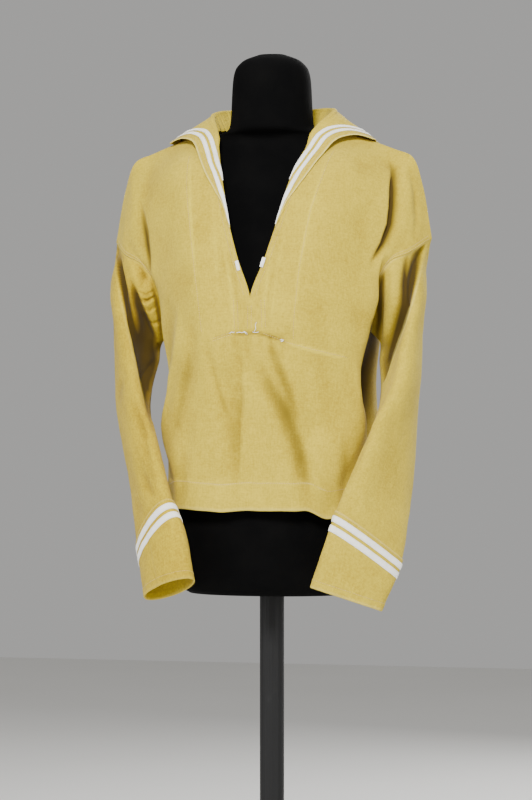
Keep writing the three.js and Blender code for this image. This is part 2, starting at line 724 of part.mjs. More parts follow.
// The back's shoulder and side rims are drawn in a little to leave the seams open.
function drawnIn(grid) {
  const rows = grid.rows.map((row) => row.map((p) => p.clone()));
  const pull = (p, q) => p.lerp(q, SEAM_GAP / p.distanceTo(q));
  const under = levelsOf(BACK_ROWS).indexOf(UNDERARM_LEVEL);
  rows.forEach((row, r) => {
    if (r <= under) {
      pull(row[row.length - 1], row[row.length - 2]);
    }
  });
  rows[rows.length - 1].forEach((p, c) => pull(p, rows[rows.length - 2][c]));
  return { rows, flip: grid.flip };
}

function buildBody(group, skin, normalAt) {
  const fronts = [skin.front_left, skin.front_right];
  addPart(group, 'front', wallGeometry(fronts, normalAt, CLOTH), CLOTH_COLOR);
  const backs = [skin.back_left, skin.back_right];
  const moved = backs.map(drawnIn);
  const lookup = new Map();
  backs.forEach((grid, g) => grid.rows.forEach((row, r) => row.forEach((p, c) => {
    lookup.set(keyOf(moved[g].rows[r][c]), normalAt(p));
  })));
  const backNormal = (p) => lookup.get(keyOf(p));
  addPart(group, 'back', wallGeometry(moved, backNormal, CLOTH), CLOTH_COLOR);
}

function buildSleeve(group, skin, name) {
  const curves = sleeveCurves(armholeRing(skin, name), name);
  const { upper, lower, normalAt } = partedSleeve(sleeveGrid(curves, name));
  const cuff = cuffGrid(curves, name);
  addPart(group, `sleeve_${name}`, wallGeometry([upper], normalAt, CLOTH), SLEEVE_COLOR);
  addPart(group, `sleeve_${name}_lower`, wallGeometry([lower], normalAt, CLOTH), SLEEVE_COLOR);
  const cuffNormal = sharedNormals([cuff]);
  const lift = CLOTH + LAY_GAP;
  addPart(group, `cuff_${name}`, wallGeometry([cuff], cuffNormal, CLOTH, lift), SLEEVE_COLOR);
  [1, 3].forEach((row, i) => {
    const band = { rows: cuff.rows.slice(row, row + 2), closed: true, flip: cuff.flip };
    const tape = wallGeometry([band], cuffNormal, TAPE, lift + LAY_GAP + TAPE);
    addPart(group, `cuff_tape_${name}_${i + 1}`, tape, TAPE_COLOR);
  });
}

function buildCollar(group, skin, normalAt) {
  const grids = collarGrids(skin, normalAt);
  const collarNormal = sharedNormals(grids);
  addPart(group, 'collar', wallGeometry(grids, collarNormal, CLOTH), CLOTH_COLOR);
  COLLAR_TAPE_BANDS.forEach((band, i) => {
    const tape = bandGrids(grids, 1 + 2 * i, 1 + i);
    addPart(group, `collar_tape_${i + 1}`,
      wallGeometry(tape, collarNormal, TAPE, LAY_GAP + TAPE), TAPE_COLOR);
  });
}

function buildStand(group) {
  addPart(group, 'form', formSolid(), FORM_COLOR);
  addPart(group, 'pole', poleSolid(), STAND_COLOR, STAND_METALNESS);
  addPart(group, 'base', baseSolid(), STAND_COLOR, STAND_METALNESS);
}

function buildJumper() {
  const group = new THREE.Group();
  const skin = bodySkin();
  const normalAt = sharedNormals(Object.values(skin));
  buildStand(group);
  buildBody(group, skin, normalAt);
  buildSleeve(group, skin, 'left');
  buildSleeve(group, skin, 'right');
  buildCollar(group, skin, normalAt);
  addPart(group, 'loop_left', loopSolid('left'), TAPE_COLOR);
  addPart(group, 'loop_right', loopSolid('right'), TAPE_COLOR);
  return group;
}

export default buildJumper();
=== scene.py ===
"""A khaki sailor jumper on a limbless dress form: its looks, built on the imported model's frame.

Sizes in the tables are in millimetres in the row frame: the front faces -Y, +Z is up and +X is the
viewer's right. The origin is the centre of the base's underside.
"""
import json
import logging
import math
from dataclasses import InitVar, dataclass
from enum import Enum

import bpy
import numpy as np
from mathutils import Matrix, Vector
from mathutils.bvhtree import BVHTree

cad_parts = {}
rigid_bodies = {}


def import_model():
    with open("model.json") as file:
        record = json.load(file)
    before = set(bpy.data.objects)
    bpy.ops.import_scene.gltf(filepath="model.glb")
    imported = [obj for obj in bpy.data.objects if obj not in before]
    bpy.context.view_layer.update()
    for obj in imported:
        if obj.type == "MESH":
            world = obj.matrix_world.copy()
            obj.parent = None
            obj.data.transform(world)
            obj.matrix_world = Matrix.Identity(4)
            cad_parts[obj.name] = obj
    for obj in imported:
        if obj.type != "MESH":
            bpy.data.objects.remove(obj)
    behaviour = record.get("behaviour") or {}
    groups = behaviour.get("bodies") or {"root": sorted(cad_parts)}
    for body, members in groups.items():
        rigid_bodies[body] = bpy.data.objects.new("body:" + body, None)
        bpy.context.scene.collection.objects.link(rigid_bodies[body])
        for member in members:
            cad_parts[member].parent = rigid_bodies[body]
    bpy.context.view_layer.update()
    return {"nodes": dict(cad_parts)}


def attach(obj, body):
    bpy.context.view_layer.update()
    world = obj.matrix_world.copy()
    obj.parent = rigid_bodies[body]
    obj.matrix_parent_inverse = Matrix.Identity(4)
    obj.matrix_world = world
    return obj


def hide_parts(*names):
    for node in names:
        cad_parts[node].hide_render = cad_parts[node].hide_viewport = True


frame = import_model()

logging.basicConfig(level=logging.INFO, format="%(message)s")
log = logging.getLogger("jumper")

Array = np.ndarray
Object = bpy.types.Object
Material = bpy.types.Material

METRE = 0.001
CLOTH = 1.1
LAY_GAP = 0.35
CUFF_TAPE_WIDTH = 8.4


class Side(Enum):
    """The viewer's left or right half, as the sign of X."""

    LEFT = -1
    RIGHT = 1

    @property
    def label(self) -> str:
        """The side's name in lower case."""
        return self.name.lower()


class Face(Enum):
    """The front or the back of the body, as the sign of Y."""

    FRONT = -1
    BACK = 1


# Curves and small array helpers


def spline(points: Array, places: Array) -> Array:
    """Centripetal curves through control points.

    Args:
        points: control points, (K, ..., 3).
        places: where to evaluate, from 0 to K - 1, (T,).

    Returns:
        The points on the curves, (T, ..., 3).
    """
    points = np.asarray(points, float)
    places = np.asarray(places, float)
    base = np.clip(np.floor(places).astype(int), 0, len(points) - 2)
    weight = (places - base).reshape(-1, *[1] * (points.ndim - 1))
    ends = [2 * points[:1] - points[1:2], points, 2 * points[-1:] - points[-2:-1]]
    padded = np.concatenate(ends)
    p0, p1, p2, p3 = (padded[base + k] for k in range(4))
    g0, g1, g2 = (root_gap(a, b) for a, b in ((p0, p1), (p1, p2), (p2, p3)))
    g1 = np.where(g1 < 1e-3, 1.0, g1)
    g0 = np.where(g0 < 1e-3, g1, g0)
    g2 = np.where(g2 < 1e-3, g1, g2)
    t1 = ((p1 - p0) / g0 - (p2 - p0) / (g0 + g1) + (p2 - p1) / g1) * g1
    t2 = ((p2 - p1) / g1 - (p3 - p1) / (g1 + g2) + (p3 - p2) / g2) * g1
    cubic = 2 * p1 - 2 * p2 + t1 + t2
    square = -3 * p1 + 3 * p2 - 2 * t1 - t2
    return p1 + t1 * weight + square * weight**2 + cubic * weight**3


def root_gap(a: Array, b: Array) -> Array:
    """The square root of the distance between two arrays of points."""
    return np.sqrt(np.linalg.norm(b - a, axis=-1, keepdims=True))


def unit(vectors: Array) -> Array:
    """The vectors at length one."""
    return vectors / np.maximum(np.linalg.norm(vectors, axis=-1, keepdims=True), 1e-9)


def bell(value: Array, width: float) -> Array:
    """One at zero, falling off softly on both sides over the width."""
    return np.exp(-((value / width) ** 2))


def smooth_step(value: Array, low: float, high: float) -> Array:
    """Zero below low, one above high, and a soft ramp between them."""
    t = np.clip((np.asarray(value, float) - low) / (high - low), 0, 1)
    return t * t * (3 - 2 * t)


def run_lengths(points: Array) -> Array:
    """Length from the first point to each point of one or more polylines, (T, ...)."""
    steps = np.linalg.norm(np.diff(points, axis=0), axis=-1)
    return np.concatenate([np.zeros_like(steps[:1]), np.cumsum(steps, axis=0)])


def resample(points: Array, lengths: Array) -> Array:
    """Points of one polyline at the given lengths from its start."""
    along = run_lengths(points)
    return np.stack([np.interp(lengths, along, points[:, k]) for k in range(points.shape[1])], 1)


def fine_places(counts: tuple) -> Array:
    """Evaluation places with the given number of steps in each interval."""
    steps = [k + np.arange(n) / n for k, n in enumerate(counts)]
    return np.concatenate([*steps, [len(counts)]])


def ripple(x: Array, y: Array, scale: float, seed: int) -> Array:
    """A smooth uneven field from -1 to 1 made of turned waves.

    Args:
        x: first coordinate, in mm.
        y: second coordinate, in mm.
        scale: the typical distance from one rise to the next, in mm.
        seed: which field.

    Returns:
        The field at each point.
    """
    source = np.random.default_rng(seed)
    total = np.zeros(np.broadcast(x, y).shape)
    waves = 7
    for _ in range(waves):
        angle, phase = source.uniform(0, 2 * math.pi, 2)
        rate = 2 * math.pi / (scale * source.uniform(0.6, 1.7))
        total += np.sin((x * math.cos(angle) + y * math.sin(angle)) * rate + phase)
    return total / math.sqrt(waves) / 1.6


# Creases


@dataclass(frozen=True)
class Crease:
    """A soft trough or ridge drawn on the cloth.

    Args:
        path: two or more points on the cloth's own chart, in mm.
        width: half width of the soft line, in mm, or in the photograph's pixels.
        rise: height, in mm, negative for a trough.
        lip: rise of the ridge that runs beside a trough, as a share of its depth.
        right: half width on the path's right-hand side, if it is sharper or softer there.
    """

    path: tuple
    width: float
    rise: float
    lip: float = 0.0
    right: float = 0.0

    def amount(self, chart: Array) -> Array:
        """The displacement at each chart point, (N, 2) in mm.

        Args:
            chart: points where the crease is drawn, (N, 2).

        Returns:
            The rise or fall at each of them, in mm.
        """
        path = np.array(self.path, float)
        total = run_lengths(path)[-1]
        best = np.full(len(chart), np.inf)
        along = np.zeros(len(chart))
        side = np.zeros(len(chart))
        start = 0.0
        for a, b in zip(path[:-1], path[1:]):
            step = b - a
            length = np.linalg.norm(step)
            t = np.clip((chart - a) @ step / length**2, 0, 1)
            off = chart - a - t[:, None] * step
            far = np.linalg.norm(off, axis=1)
            nearer = far < best
            best = np.where(nearer, far, best)
            along = np.where(nearer, (start + t * length) / total, along)
            cross = (step[0] * off[:, 1] - step[1] * off[:, 0]) / length
            side = np.where(nearer, cross, side)
            start += length
        fade = np.sin(np.pi * (0.04 + 0.92 * along)) ** 0.7
        shape = 0.75 + 0.35 * fade
        width = self.width * shape
        sided = np.where(side < 0, self.right or self.width, self.width) * shape
        line = bell(best, sided)
        beside = bell(side - 1.5 * width, width) * np.exp(-((best / width / 2.4) ** 4))
        return self.rise * fade * (line - self.lip * beside)


def creased(chart: Array, creases: list) -> Array:
    """The sum of all the creases at each chart point."""
    flat = chart.reshape(-1, 2)
    total = np.zeros(len(flat))
    for crease in creases:
        total += crease.amount(flat)
    return total.reshape(chart.shape[:-1])


@dataclass
class PhotoView:
    """Where points of the jumper fall in the photograph, seen by the scene's own camera.

    Args:
        azimuth: how far round the pole the camera stands, in degrees.
        distance: from the camera to the pole, in metres.
        eye: the camera's height, in metres.
        coverage: what the picture's height covers at the pole, in metres.
        shift: how far the camera stands beside the line to the pole, in metres.
        width: the photograph's width, in pixels.
        height: the photograph's height, in pixels.
    """

    azimuth: float = 14.0
    distance: float = 4.0
    eye: float = 0.9111
    coverage: float = 1.088
    shift: float = 0.00816
    width: int = 532
    height: int = 800

    def __post_init__(self) -> None:
        """Works out where the camera stands and what its right is."""
        a = math.radians(self.azimuth)
        self.right = np.array([math.cos(a), math.sin(a), 0.0])
        self.back = np.array([math.sin(a), -math.cos(a), 0.0])
        up = np.array([0.0, 0.0, self.eye])
        self.place = self.back * self.distance - self.right * self.shift + up

    def pixels(self, points: Array) -> Array:
        """Pixel places of points in mm, (..., 2)."""
        offset = points * METRE - self.place
        depth = -(offset @ self.back)
        scale = self.height * self.distance / self.coverage / depth
        x = self.width / 2 + (offset @ self.right) * scale
        y = self.height / 2 - offset[..., 2] * scale
        return np.stack([x, y], -1)

    def facing(self, grid: "ClothGrid") -> Array:
        """One where a grid faces the camera, zero where it turns away."""
        toward = unit(self.place - grid.points * METRE)
        return smooth_step((grid.normals * toward).sum(-1), 0.02, 0.3)

    def relief(self, grid: "ClothGrid", creases: tuple) -> Array:
        """Creases drawn in the photograph's pixels, in mm along the grid's normals."""
        return creased(self.pixels(grid.points), list(creases)) * self.facing(grid)


VIEW = PhotoView()


# Cloth grids and shells


class ClothGrid:
    """A grid of points that a thin shell of cloth is made on.

    Args:
        points: (rows, columns, 3) in mm.
        closed: true if the last column joins the first.
        flip: true if the grid's own winding faces inwards.
        slit: a column pair that is only joined below this row, as (column, row), or nothing.
    """

    def __init__(self, points: Array, closed: bool = False, flip: bool = False, slit: tuple = ()) -> None:
        """Keeps the points and works out their normals."""
        self.points = np.asarray(points, float)
        self.closed = closed
        self.flip = flip
        self.slit = slit
        self.normals = self._normals()

    @property
    def shape(self) -> tuple:
        """Rows and columns."""
        return self.points.shape[:2]

    def ids(self) -> Array:
        """A vertex number for each grid point; points sewn together share one."""
        rows, columns = self.shape
        numbers = np.arange(rows * columns).reshape(rows, columns)
        if self.slit:
            column, top = self.slit
            numbers[: top + 1, column + 1] = numbers[: top + 1, column]
        return numbers

    def quads(self) -> tuple:
        """The faces as vertex numbers, (F, 4), and their grid corners, (F, 4, 2)."""
        rows, columns = self.shape
        last = columns if self.closed else columns - 1
        r, c = np.meshgrid(np.arange(rows - 1), np.arange(last), indexing="ij")
        r, c = r.ravel(), c.ravel()
        if self.slit:
            keep = c != self.slit[0]
            r, c = r[keep], c[keep]
        corner_r = np.stack([r, r, r + 1, r + 1], 1)
        corner_c = np.stack([c, c + 1, c + 1, c], 1)
        if self.flip:
            corner_r, corner_c = corner_r[:, ::-1], corner_c[:, ::-1]
        faces = self.ids()[corner_r, corner_c % columns]
        return faces, np.stack([corner_r, corner_c], 2)

    def _normals(self) -> Array:
        """Smooth outward normals at each grid point."""
        faces, _ = self.quads()
        flat = self.points.reshape(-1, 3)
        a, b, c, d = (flat[faces[:, k]] for k in range(4))
        normal = np.cross(c - a, d - b)
        sums = np.zeros_like(flat)
        for k in range(4):
            np.add.at(sums, faces[:, k], normal)
        return unit(sums[self.ids()])

    def lifted(self, amount: Array) -> "ClothGrid":
        """The same grid moved along its normals."""
        moved = self.points + self.normals * np.asarray(amount, float)[..., None]
        return ClothGrid(moved, self.closed, self.flip, self.slit)

    def part(self, rows: slice, columns: slice = slice(None)) -> "ClothGrid":
        """A block of the grid, with the whole grid's normals.

        Args:
            rows: which rows.
            columns: which columns.

        Returns:
            The block as a grid of its own.
        """
        whole = columns == slice(None)
        block = ClothGrid(self.points[rows, columns], self.closed and whole, self.flip)
        block.normals = self.normals[rows, columns]
        return block

    def at(self, rows: Array, columns: Array) -> tuple:
        """Points and normals at fractional rows and columns.

        Args:
            rows: places down the grid, (N,).
            columns: places across it, (N,).

        Returns:
            The points and the unit normals there, (N, 3) each.
        """
        count_r, count_c = self.shape
        r0 = np.clip(np.floor(rows).astype(int), 0, count_r - 2)
        c0 = np.floor(columns).astype(int)
        if not self.closed:
            c0 = np.clip(c0, 0, count_c - 2)
        fr, fc = (rows - r0)[:, None], (columns - c0)[:, None]
        c0, c1 = c0 % count_c, (c0 + 1) % count_c
        found = []
        for field in (self.points, self.normals):
            low = field[r0, c0] * (1 - fc) + field[r0, c1] * fc
            high = field[r0 + 1, c0] * (1 - fc) + field[r0 + 1, c1] * fc
            found.append(low * (1 - fr) + high * fr)
        return found[0], unit(found[1])

    def tree(self) -> BVHTree:
        """A search tree of the outer surface."""
        faces, _ = self.quads()
        return BVHTree.FromPolygons(self.points.reshape(-1, 3).tolist(), faces.tolist())


def open_edges(faces: Array) -> Array:
    """The directed edges that only one face has, (E, 2)."""
    edges = np.concatenate([faces[:, [k, (k + 1) % 4]] for k in range(4)])
    edges = edges[edges[:, 0] != edges[:, 1]]
    size = int(faces.max()) + 1
    code = edges[:, 0] * size + edges[:, 1]
    back = edges[:, 1] * size + edges[:, 0]
    return edges[~np.isin(code, back)]


def smooth_object(name: str, mesh: bpy.types.Mesh) -> Object:
    """A smoothly shaded object of a mesh, in the scene."""
    mesh.polygons.foreach_set("use_smooth", [True] * len(mesh.polygons))
    obj = bpy.data.objects.new(name, mesh)
    bpy.context.collection.objects.link(obj)
    return obj


def new_object(name: str, points: Array, faces: list) -> Object:
    """A mesh object from points in mm."""
    mesh = bpy.data.meshes.new(name)
    mesh.from_pydata((np.asarray(points) * METRE).tolist(), [], faces)
    mesh.validate()
    return smooth_object(name, mesh)


def shell_object(
    name: str, grid: ClothGrid, thickness: float | Array, tone_and_painted_shade: Array = None, wear_and_painted_highlight: Array = None
) -> Object:
    """A thin shell of cloth with rounded edges, and its weave coordinates.

    Args:
        name: the object's name.
        grid: the cloth's outer surface.
        thickness: cloth thickness in mm, one number or one for each grid point.
        tone_and_painted_shade: darker (negative) to paler (positive) for each grid point: random mottling,
            and painted shade and a little painted highlight in folds.
        wear_and_painted_highlight: rubbed paler, from 0 to 1, for each grid point, and on the sleeves painted
            highlights along the sharpest folds.

    Returns:
        The new object.
    """
    rows, columns = grid.shape
    faces, corners = grid.quads()
    outer = grid.points.reshape(-1, 3)
    normals = grid.normals.reshape(-1, 3)
    depth = np.broadcast_to(np.asarray(thickness, float), grid.shape).reshape(-1, 1)
    inner = outer - normals * depth
    rim = open_edges(faces)
    out = np.zeros_like(outer)
    across = np.cross(outer[rim[:, 1]] - outer[rim[:, 0]], normals[rim[:, 0]])
    for k in range(2):
        np.add.at(out, rim[:, k], unit(across))
    ids = np.unique(rim)
    place = np.full(len(outer), -1)
    place[ids] = np.arange(len(ids)) + 2 * len(outer)
    middle = (outer[ids] + inner[ids]) / 2 + unit(out[ids]) * depth[ids] * 0.45
    shift = len(outer)
    a, b = rim[:, 0], rim[:, 1]
    upper = np.stack([b, a, place[a], place[b]], 1)
    lower = np.stack([place[b], place[a], a + shift, b + shift], 1)
    everything = np.concatenate([faces, faces[:, ::-1] + shift, upper, lower])
    weave = weave_coordinates(grid)
    own = weave[corners[..., 0], corners[..., 1]]
    rim_weave = np.zeros((len(outer), 2))
    flat_ids = grid.ids()
    rim_weave[flat_ids.ravel()] = weave[:, :columns].reshape(-1, 2)
    side = np.stack([rim_weave[b], rim_weave[a], rim_weave[a], rim_weave[b]], 1)
    uv = np.concatenate([own, own[:, ::-1], side, side])
    fields = {}
    for label, value in (("tone_and_painted_shade", tone_and_painted_shade), ("wear_and_painted_highlight", wear_and_painted_highlight)):
        flat = np.zeros(len(outer))
        if value is not None:
            flat[flat_ids.ravel()] = np.asarray(value, float).ravel()
        fields[label] = np.concatenate([flat, flat, flat[ids]])
    points = np.concatenate([outer, inner, middle])
    return meshed(name, points, everything, uv, fields)


def weave_coordinates(grid: ClothGrid) -> Array:
    """Coordinates that follow the threads, in mm, with one column more than a closed grid has."""
    points = grid.points
    if grid.closed:
        points = np.concatenate([points, points[:, :1]], 1)
    across = run_lengths(points.swapaxes(0, 1)).T
    down = run_lengths(points)
    return np.stack([across - across[:, -1:] / 2, down], 2)


def meshed(name: str, points: Array, faces: Array, uv: Array, fields: dict) -> Object:
    """A mesh object from quads, with its weave map and its attributes; unused points are dropped.

    Args:
        name: the object's name.
        points: in mm, (P, 3).
        faces: quads, or triangles with a corner twice, (F, 4).
        uv: thread coordinates of each corner, in mm.
        fields: values for each point, by name.

    Returns:
        The new object.
    """
    real = np.array([len(set(face)) >= 3 for face in faces.tolist()])
    faces, uv = faces[real], uv[real]
    used, packed = np.unique(faces, return_inverse=True)
    faces = packed.reshape(-1, 4)
    lists, kept_uv = [], []
    for face, corner in zip(faces.tolist(), uv.tolist()):
        keep = [k for k in range(4) if face[k] != face[k - 1]]
        lists.append([face[k] for k in keep])
        kept_uv.extend(corner[k] for k in keep)
    mesh = bpy.data.meshes.new(name)
    mesh.from_pydata((points[used] * METRE).tolist(), [], lists)
    layer = mesh.uv_layers.new(name="weave")
    layer.data.foreach_set("uv", (np.array(kept_uv) * METRE).ravel())
    for label, value in fields.items():
        attribute = mesh.attributes.new(label, "FLOAT", "POINT")
        attribute.data.foreach_set("value", value[used])
    return smooth_object(name, mesh)


def stage_piece(obj: Object, slot: str, material: Material, *nodes: str) -> Object:
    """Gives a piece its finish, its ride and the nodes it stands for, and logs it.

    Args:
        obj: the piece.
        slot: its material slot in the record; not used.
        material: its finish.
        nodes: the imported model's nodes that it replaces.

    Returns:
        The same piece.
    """
    obj.data.materials.clear()
    obj.data.materials.append(material)
    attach(obj, "root")
    if nodes:
        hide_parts(*nodes)
    log.info("%s: %d faces", obj.name, len(getattr(obj.data, "polygons", [])))
    return obj


# Shader graphs


class Wire:
    """A node's output that can be used in sums and products."""

    def __init__(self, graph: "Graph", socket: bpy.types.NodeSocket) -> None:
        """Keeps the socket and the graph that it belongs to."""
        self.graph = graph
        self.socket = socket

    def __add__(self, other: "Wire | float") -> "Wire":
        """Sum."""
        return self.graph.maths("ADD", self, other)

    def __sub__(self, other: "Wire | float") -> "Wire":
        """Difference."""
        return self.graph.maths("SUBTRACT", self, other)

    def __rsub__(self, other: float) -> "Wire":
        """Difference from a number."""
        return self.graph.maths("SUBTRACT", other, self)

    def __mul__(self, other: "Wire | float") -> "Wire":
        """Product."""
        return self.graph.maths("MULTIPLY", self, other)

    __radd__ = __add__
    __rmul__ = __mul__

    def sine(self) -> "Wire":
        """Sine of an angle in radians."""
        return self.graph.maths("SINE", self)

    def above(self, low: float, high: float) -> "Wire":
        """Zero below low and one above high, clamped."""
        settings = {"clamp": True}
        values = {"Value": self, "From Min": low, "From Max": high, "To Min": 0.0, "To Max": 1.0}
        return self.graph.node("ShaderNodeMapRange", settings, values)


class Graph:
    """One material's nodes.

    Args:
        name: the material's name.
    """

    def __init__(self, name: str) -> None:
        """Starts an empty material."""
        self.material = bpy.data.materials.new(name)
        self.material.use_nodes = True
        self.tree = self.material.node_tree
        self.tree.nodes.clear()

    def node(self, kind: str, settings: dict, sockets: dict, output: int | str = 0) -> Wire:
        """A node of any type: settings first, then its input sockets.

        Args:
            kind: the node's type.
            settings: what is set on the node itself.
            sockets: a value or a wire for each input.
            output: which output is used.

        Returns:
            The wire from that output.
        """
        made = self.tree.nodes.new(kind)
        for key, value in settings.items():
            setattr(made, key, value)
        for key, value in sockets.items():
            if isinstance(value, Wire):
                self.tree.links.new(value.socket, made.inputs[key])
            else:
                made.inputs[key].default_value = value
        return Wire(self, made.outputs[output])

    def maths(self, operation: str, first: Wire | float, second: Wire | float = 0.0) -> Wire:
        """A sum on plain values."""
        return self.node("ShaderNodeMath", {"operation": operation}, {0: first, 1: second})

    def blend(self, factor: Wire, first: Wire | tuple, second: Wire | tuple) -> Wire:
        """A mix of two colours."""
        return self.node("ShaderNodeMix", {"data_type": "RGBA"}, {0: factor, 6: first, 7: second}, 2)

    def weave(self) -> tuple:
        """The two thread coordinates, in metres."""
        threads = self.node("ShaderNodeUVMap", {"uv_map": "weave"}, {})
        across = self.node("ShaderNodeSeparateXYZ", {}, {0: threads})
        return across, Wire(self, across.socket.node.outputs[1])

    def vector(self, x: Wire, y: Wire, z: float = 0.0) -> Wire:
        """A vector from three values."""
        return self.node("ShaderNodeCombineXYZ", {}, {0: x, 1: y, 2: z})

    def place(self) -> Wire:
        """The point in the object's own space, in metres."""
        return self.node("ShaderNodeTexCoord", {}, {}, "Object")

    def noise(self, at: Wire, scale: float, detail: float = 2.0, rough: float = 0.5) -> Wire:
        """Soft noise from 0 to 1."""
        sockets = {"Vector": at, "Scale": scale, "Detail": detail, "Roughness": rough}
        return self.node("ShaderNodeTexNoise", {}, sockets)

    def field(self, name: str) -> Wire:
        """A value kept on the mesh."""
        return self.node("ShaderNodeAttribute", {"attribute_name": name}, {}, "Fac")

    def bump(self, height: Wire, strength: float, distance: float, below: Wire = None) -> Wire:
        """A bump from a height, laid over another one."""
        sockets = {"Height": height, "Strength": strength, "Distance": distance}
        if below is not None:
            sockets["Normal"] = below
        return self.node("ShaderNodeBump", {}, sockets)

    def surface(self, **sockets: Wire | float) -> Material:
        """The principled surface and the output."""
        named = {key.replace("_", " "): value for key, value in sockets.items()}
        shader = self.node("ShaderNodeBsdfPrincipled", {}, named)
        output = self.tree.nodes.new("ShaderNodeOutputMaterial")
        self.tree.links.new(shader.socket, output.inputs["Surface"])
        return self.material


def linear(red: int, green: int, blue: int) -> tuple:
    """A colour given as 0 to 255 screen values, as the renderer takes it."""
    def channel(value: float) -> float:
        """One channel, from 0 to 1."""
        return value / 12.92 if value <= 0.04045 else ((value + 0.055) / 1.055) ** 2.4

    return (*(channel(v / 255) for v in (red, green, blue)), 1.0)


@dataclass(frozen=True)
class KhakiCloth:
    """Khaki cotton drill: thread relief, slubs, faint clouds, rubbed edges, small specks, painted shade and
    painted highlights.

    Args:
        name: the material's name.
        base: the cloth's colour.
        shade: the colour of the cloth's darker threads and clouds, and of the painted shade in its creases.
        rubbed: the colour where it is worn paler, also used for the painted highlights.
        speck: the colour of the small specks.
        deep: the colour of the painted shade in the deepest troughs.
        pitch: from one thread to the next, in metres.
        roughness: of the cloth between its slubs.
    """

    name: str
    base: tuple
    shade: tuple
    rubbed: tuple
    speck: tuple = linear(112, 78, 34)
    deep: tuple = linear(70, 54, 12)
    pitch: float = 0.00075
    roughness: float = 0.86

    def build(self) -> Material:
        """The finished material."""
        g = Graph(self.name)
        across, down = g.weave()
        turns = 2 * math.pi / self.pitch
        warp = (across * turns).sine()
        weft = (down * turns).sine()
        twill = ((across + down) * (turns / 3)).sine()
        slub_across = g.noise(g.vector(across * 60, down * 900), 1.0, 3.0)
        slub_down = g.noise(g.vector(across * 900, down * 60, 4.0), 1.0, 3.0)
        clouds = g.noise(g.place(), 14.0, 4.0, 0.6)
        mottle = g.noise(g.place(), 95.0, 3.0, 0.6)
        tone_and_painted_shade = g.field("tone_and_painted_shade")
        wear_and_painted_highlight = g.field("wear_and_painted_highlight")
        threads = (slub_across + slub_down) * 0.5
        grain = g.noise(g.place(), 330.0, 2.0, 0.6)
        # Lightness from threads, grain, clouds and mottle, darkened by the painted shade carried on the mesh.
        light = threads * 1.0 + grain * 0.8 + clouds * 0.4 + mottle * 0.3 + tone_and_painted_shade * 0.9 - 0.75
        colour = g.blend(light.above(0.0, 0.9), self.shade, self.base)
        # Painted shade: the deepest troughs blend to the deep colour.
        colour = g.blend((0.0 - tone_and_painted_shade).above(0.22, 0.95), colour, self.deep)
        # Worn edges, and the painted highlights along the sleeves' sharpest folds, blend to the rubbed
        # colour.
        rub = (wear_and_painted_highlight * (threads + 0.25) * 1.1).above(0.12, 0.9)
        colour = g.blend(rub, colour, self.rubbed)
        specks = g.noise(g.place(), 420.0, 1.0).above(0.79, 0.83) * clouds.above(0.4, 0.62)
        colour = g.blend(specks * 0.8, colour, self.speck)
        crumple = g.bump(g.noise(g.place(), 60.0, 4.0, 0.55), 0.35, 0.0016)
        thread = warp * 0.3 + weft * 0.3 + twill * 0.35 + threads * 1.2
        relief = g.bump(thread, 0.55, 0.00022, crumple)
        rough = threads * 0.12 + self.roughness - 0.06
        return g.surface(
            Base_Color=colour, Roughness=rough, Normal=relief, Sheen_Weight=0.08,
            Sheen_Roughness=0.5, Specular_IOR_Level=0.16,
        )


@dataclass(frozen=True)
class WhiteTape:
    """White cotton twill tape: fine slanting ribs, woven edges and a little greying from use."""

    name: str
    base: tuple = linear(255, 254, 246)
    shade: tuple = linear(234, 230, 214)

    def build(self) -> Material:
        """The finished material."""
        g = Graph(self.name)
        across, down = g.weave()
        rib = ((across + down) * (2 * math.pi / 0.0011)).sine()
        fine = (down * (2 * math.pi / 0.0006)).sine()
        dirt = g.noise(g.place(), 70.0, 4.0, 0.6)
        tone_and_painted_shade = (rib * 0.12 + dirt * 0.8 + g.field("tone_and_painted_shade") * 0.8 + 0.25).above(0.2, 0.8)
        colour = g.blend(tone_and_painted_shade, self.shade, self.base)
        soft = g.bump(dirt, 0.2, 0.0008)
        relief = g.bump(rib * 0.6 + fine * 0.3, 0.5, 0.0002, soft)
        return g.surface(
            Base_Color=colour, Roughness=dirt * 0.15 + 0.74, Normal=relief, Sheen_Weight=0.15,
            Specular_IOR_Level=0.25,
        )


@dataclass(frozen=True)
class Thread:
    """Twisted sewing thread."""

    name: str
    base: tuple
    shade: tuple

    def build(self) -> Material:
        """The finished material."""
        g = Graph(self.name)
        place = g.place()
        fuzz = g.noise(place, 900.0, 2.0)
        colour = g.blend(fuzz.above(0.3, 0.7), self.shade, self.base)
        relief = g.bump(g.noise(place, 2600.0, 1.0), 0.5, 0.0002)
        return g.surface(Base_Color=colour, Roughness=fuzz * 0.2 + 0.6, Normal=relief, Sheen_Weight=0.2)


@dataclass(frozen=True)
class FormCover:
    """Black jersey stretched over the dress form."""

    name: str
    base: tuple = (0.0016, 0.0016, 0.0017, 1.0)
    worn: tuple = (0.003, 0.0029, 0.0028, 1.0)

    def build(self) -> Material:
        """The finished material."""
        g = Graph(self.name)
        place = g.place()
        knit = g.noise(place, 1500.0, 2.0)
        clouds = g.noise(place, 18.0, 4.0, 0.6)
        colour = g.blend(clouds.above(0.4, 0.75), self.base, self.worn)
        relief = g.bump(knit, 0.3, 0.0003, g.bump(clouds, 0.15, 0.002))
        rough = knit * 0.1 + 0.88
        return g.surface(Base_Color=colour, Roughness=rough, Normal=relief, Specular_IOR_Level=0.05)


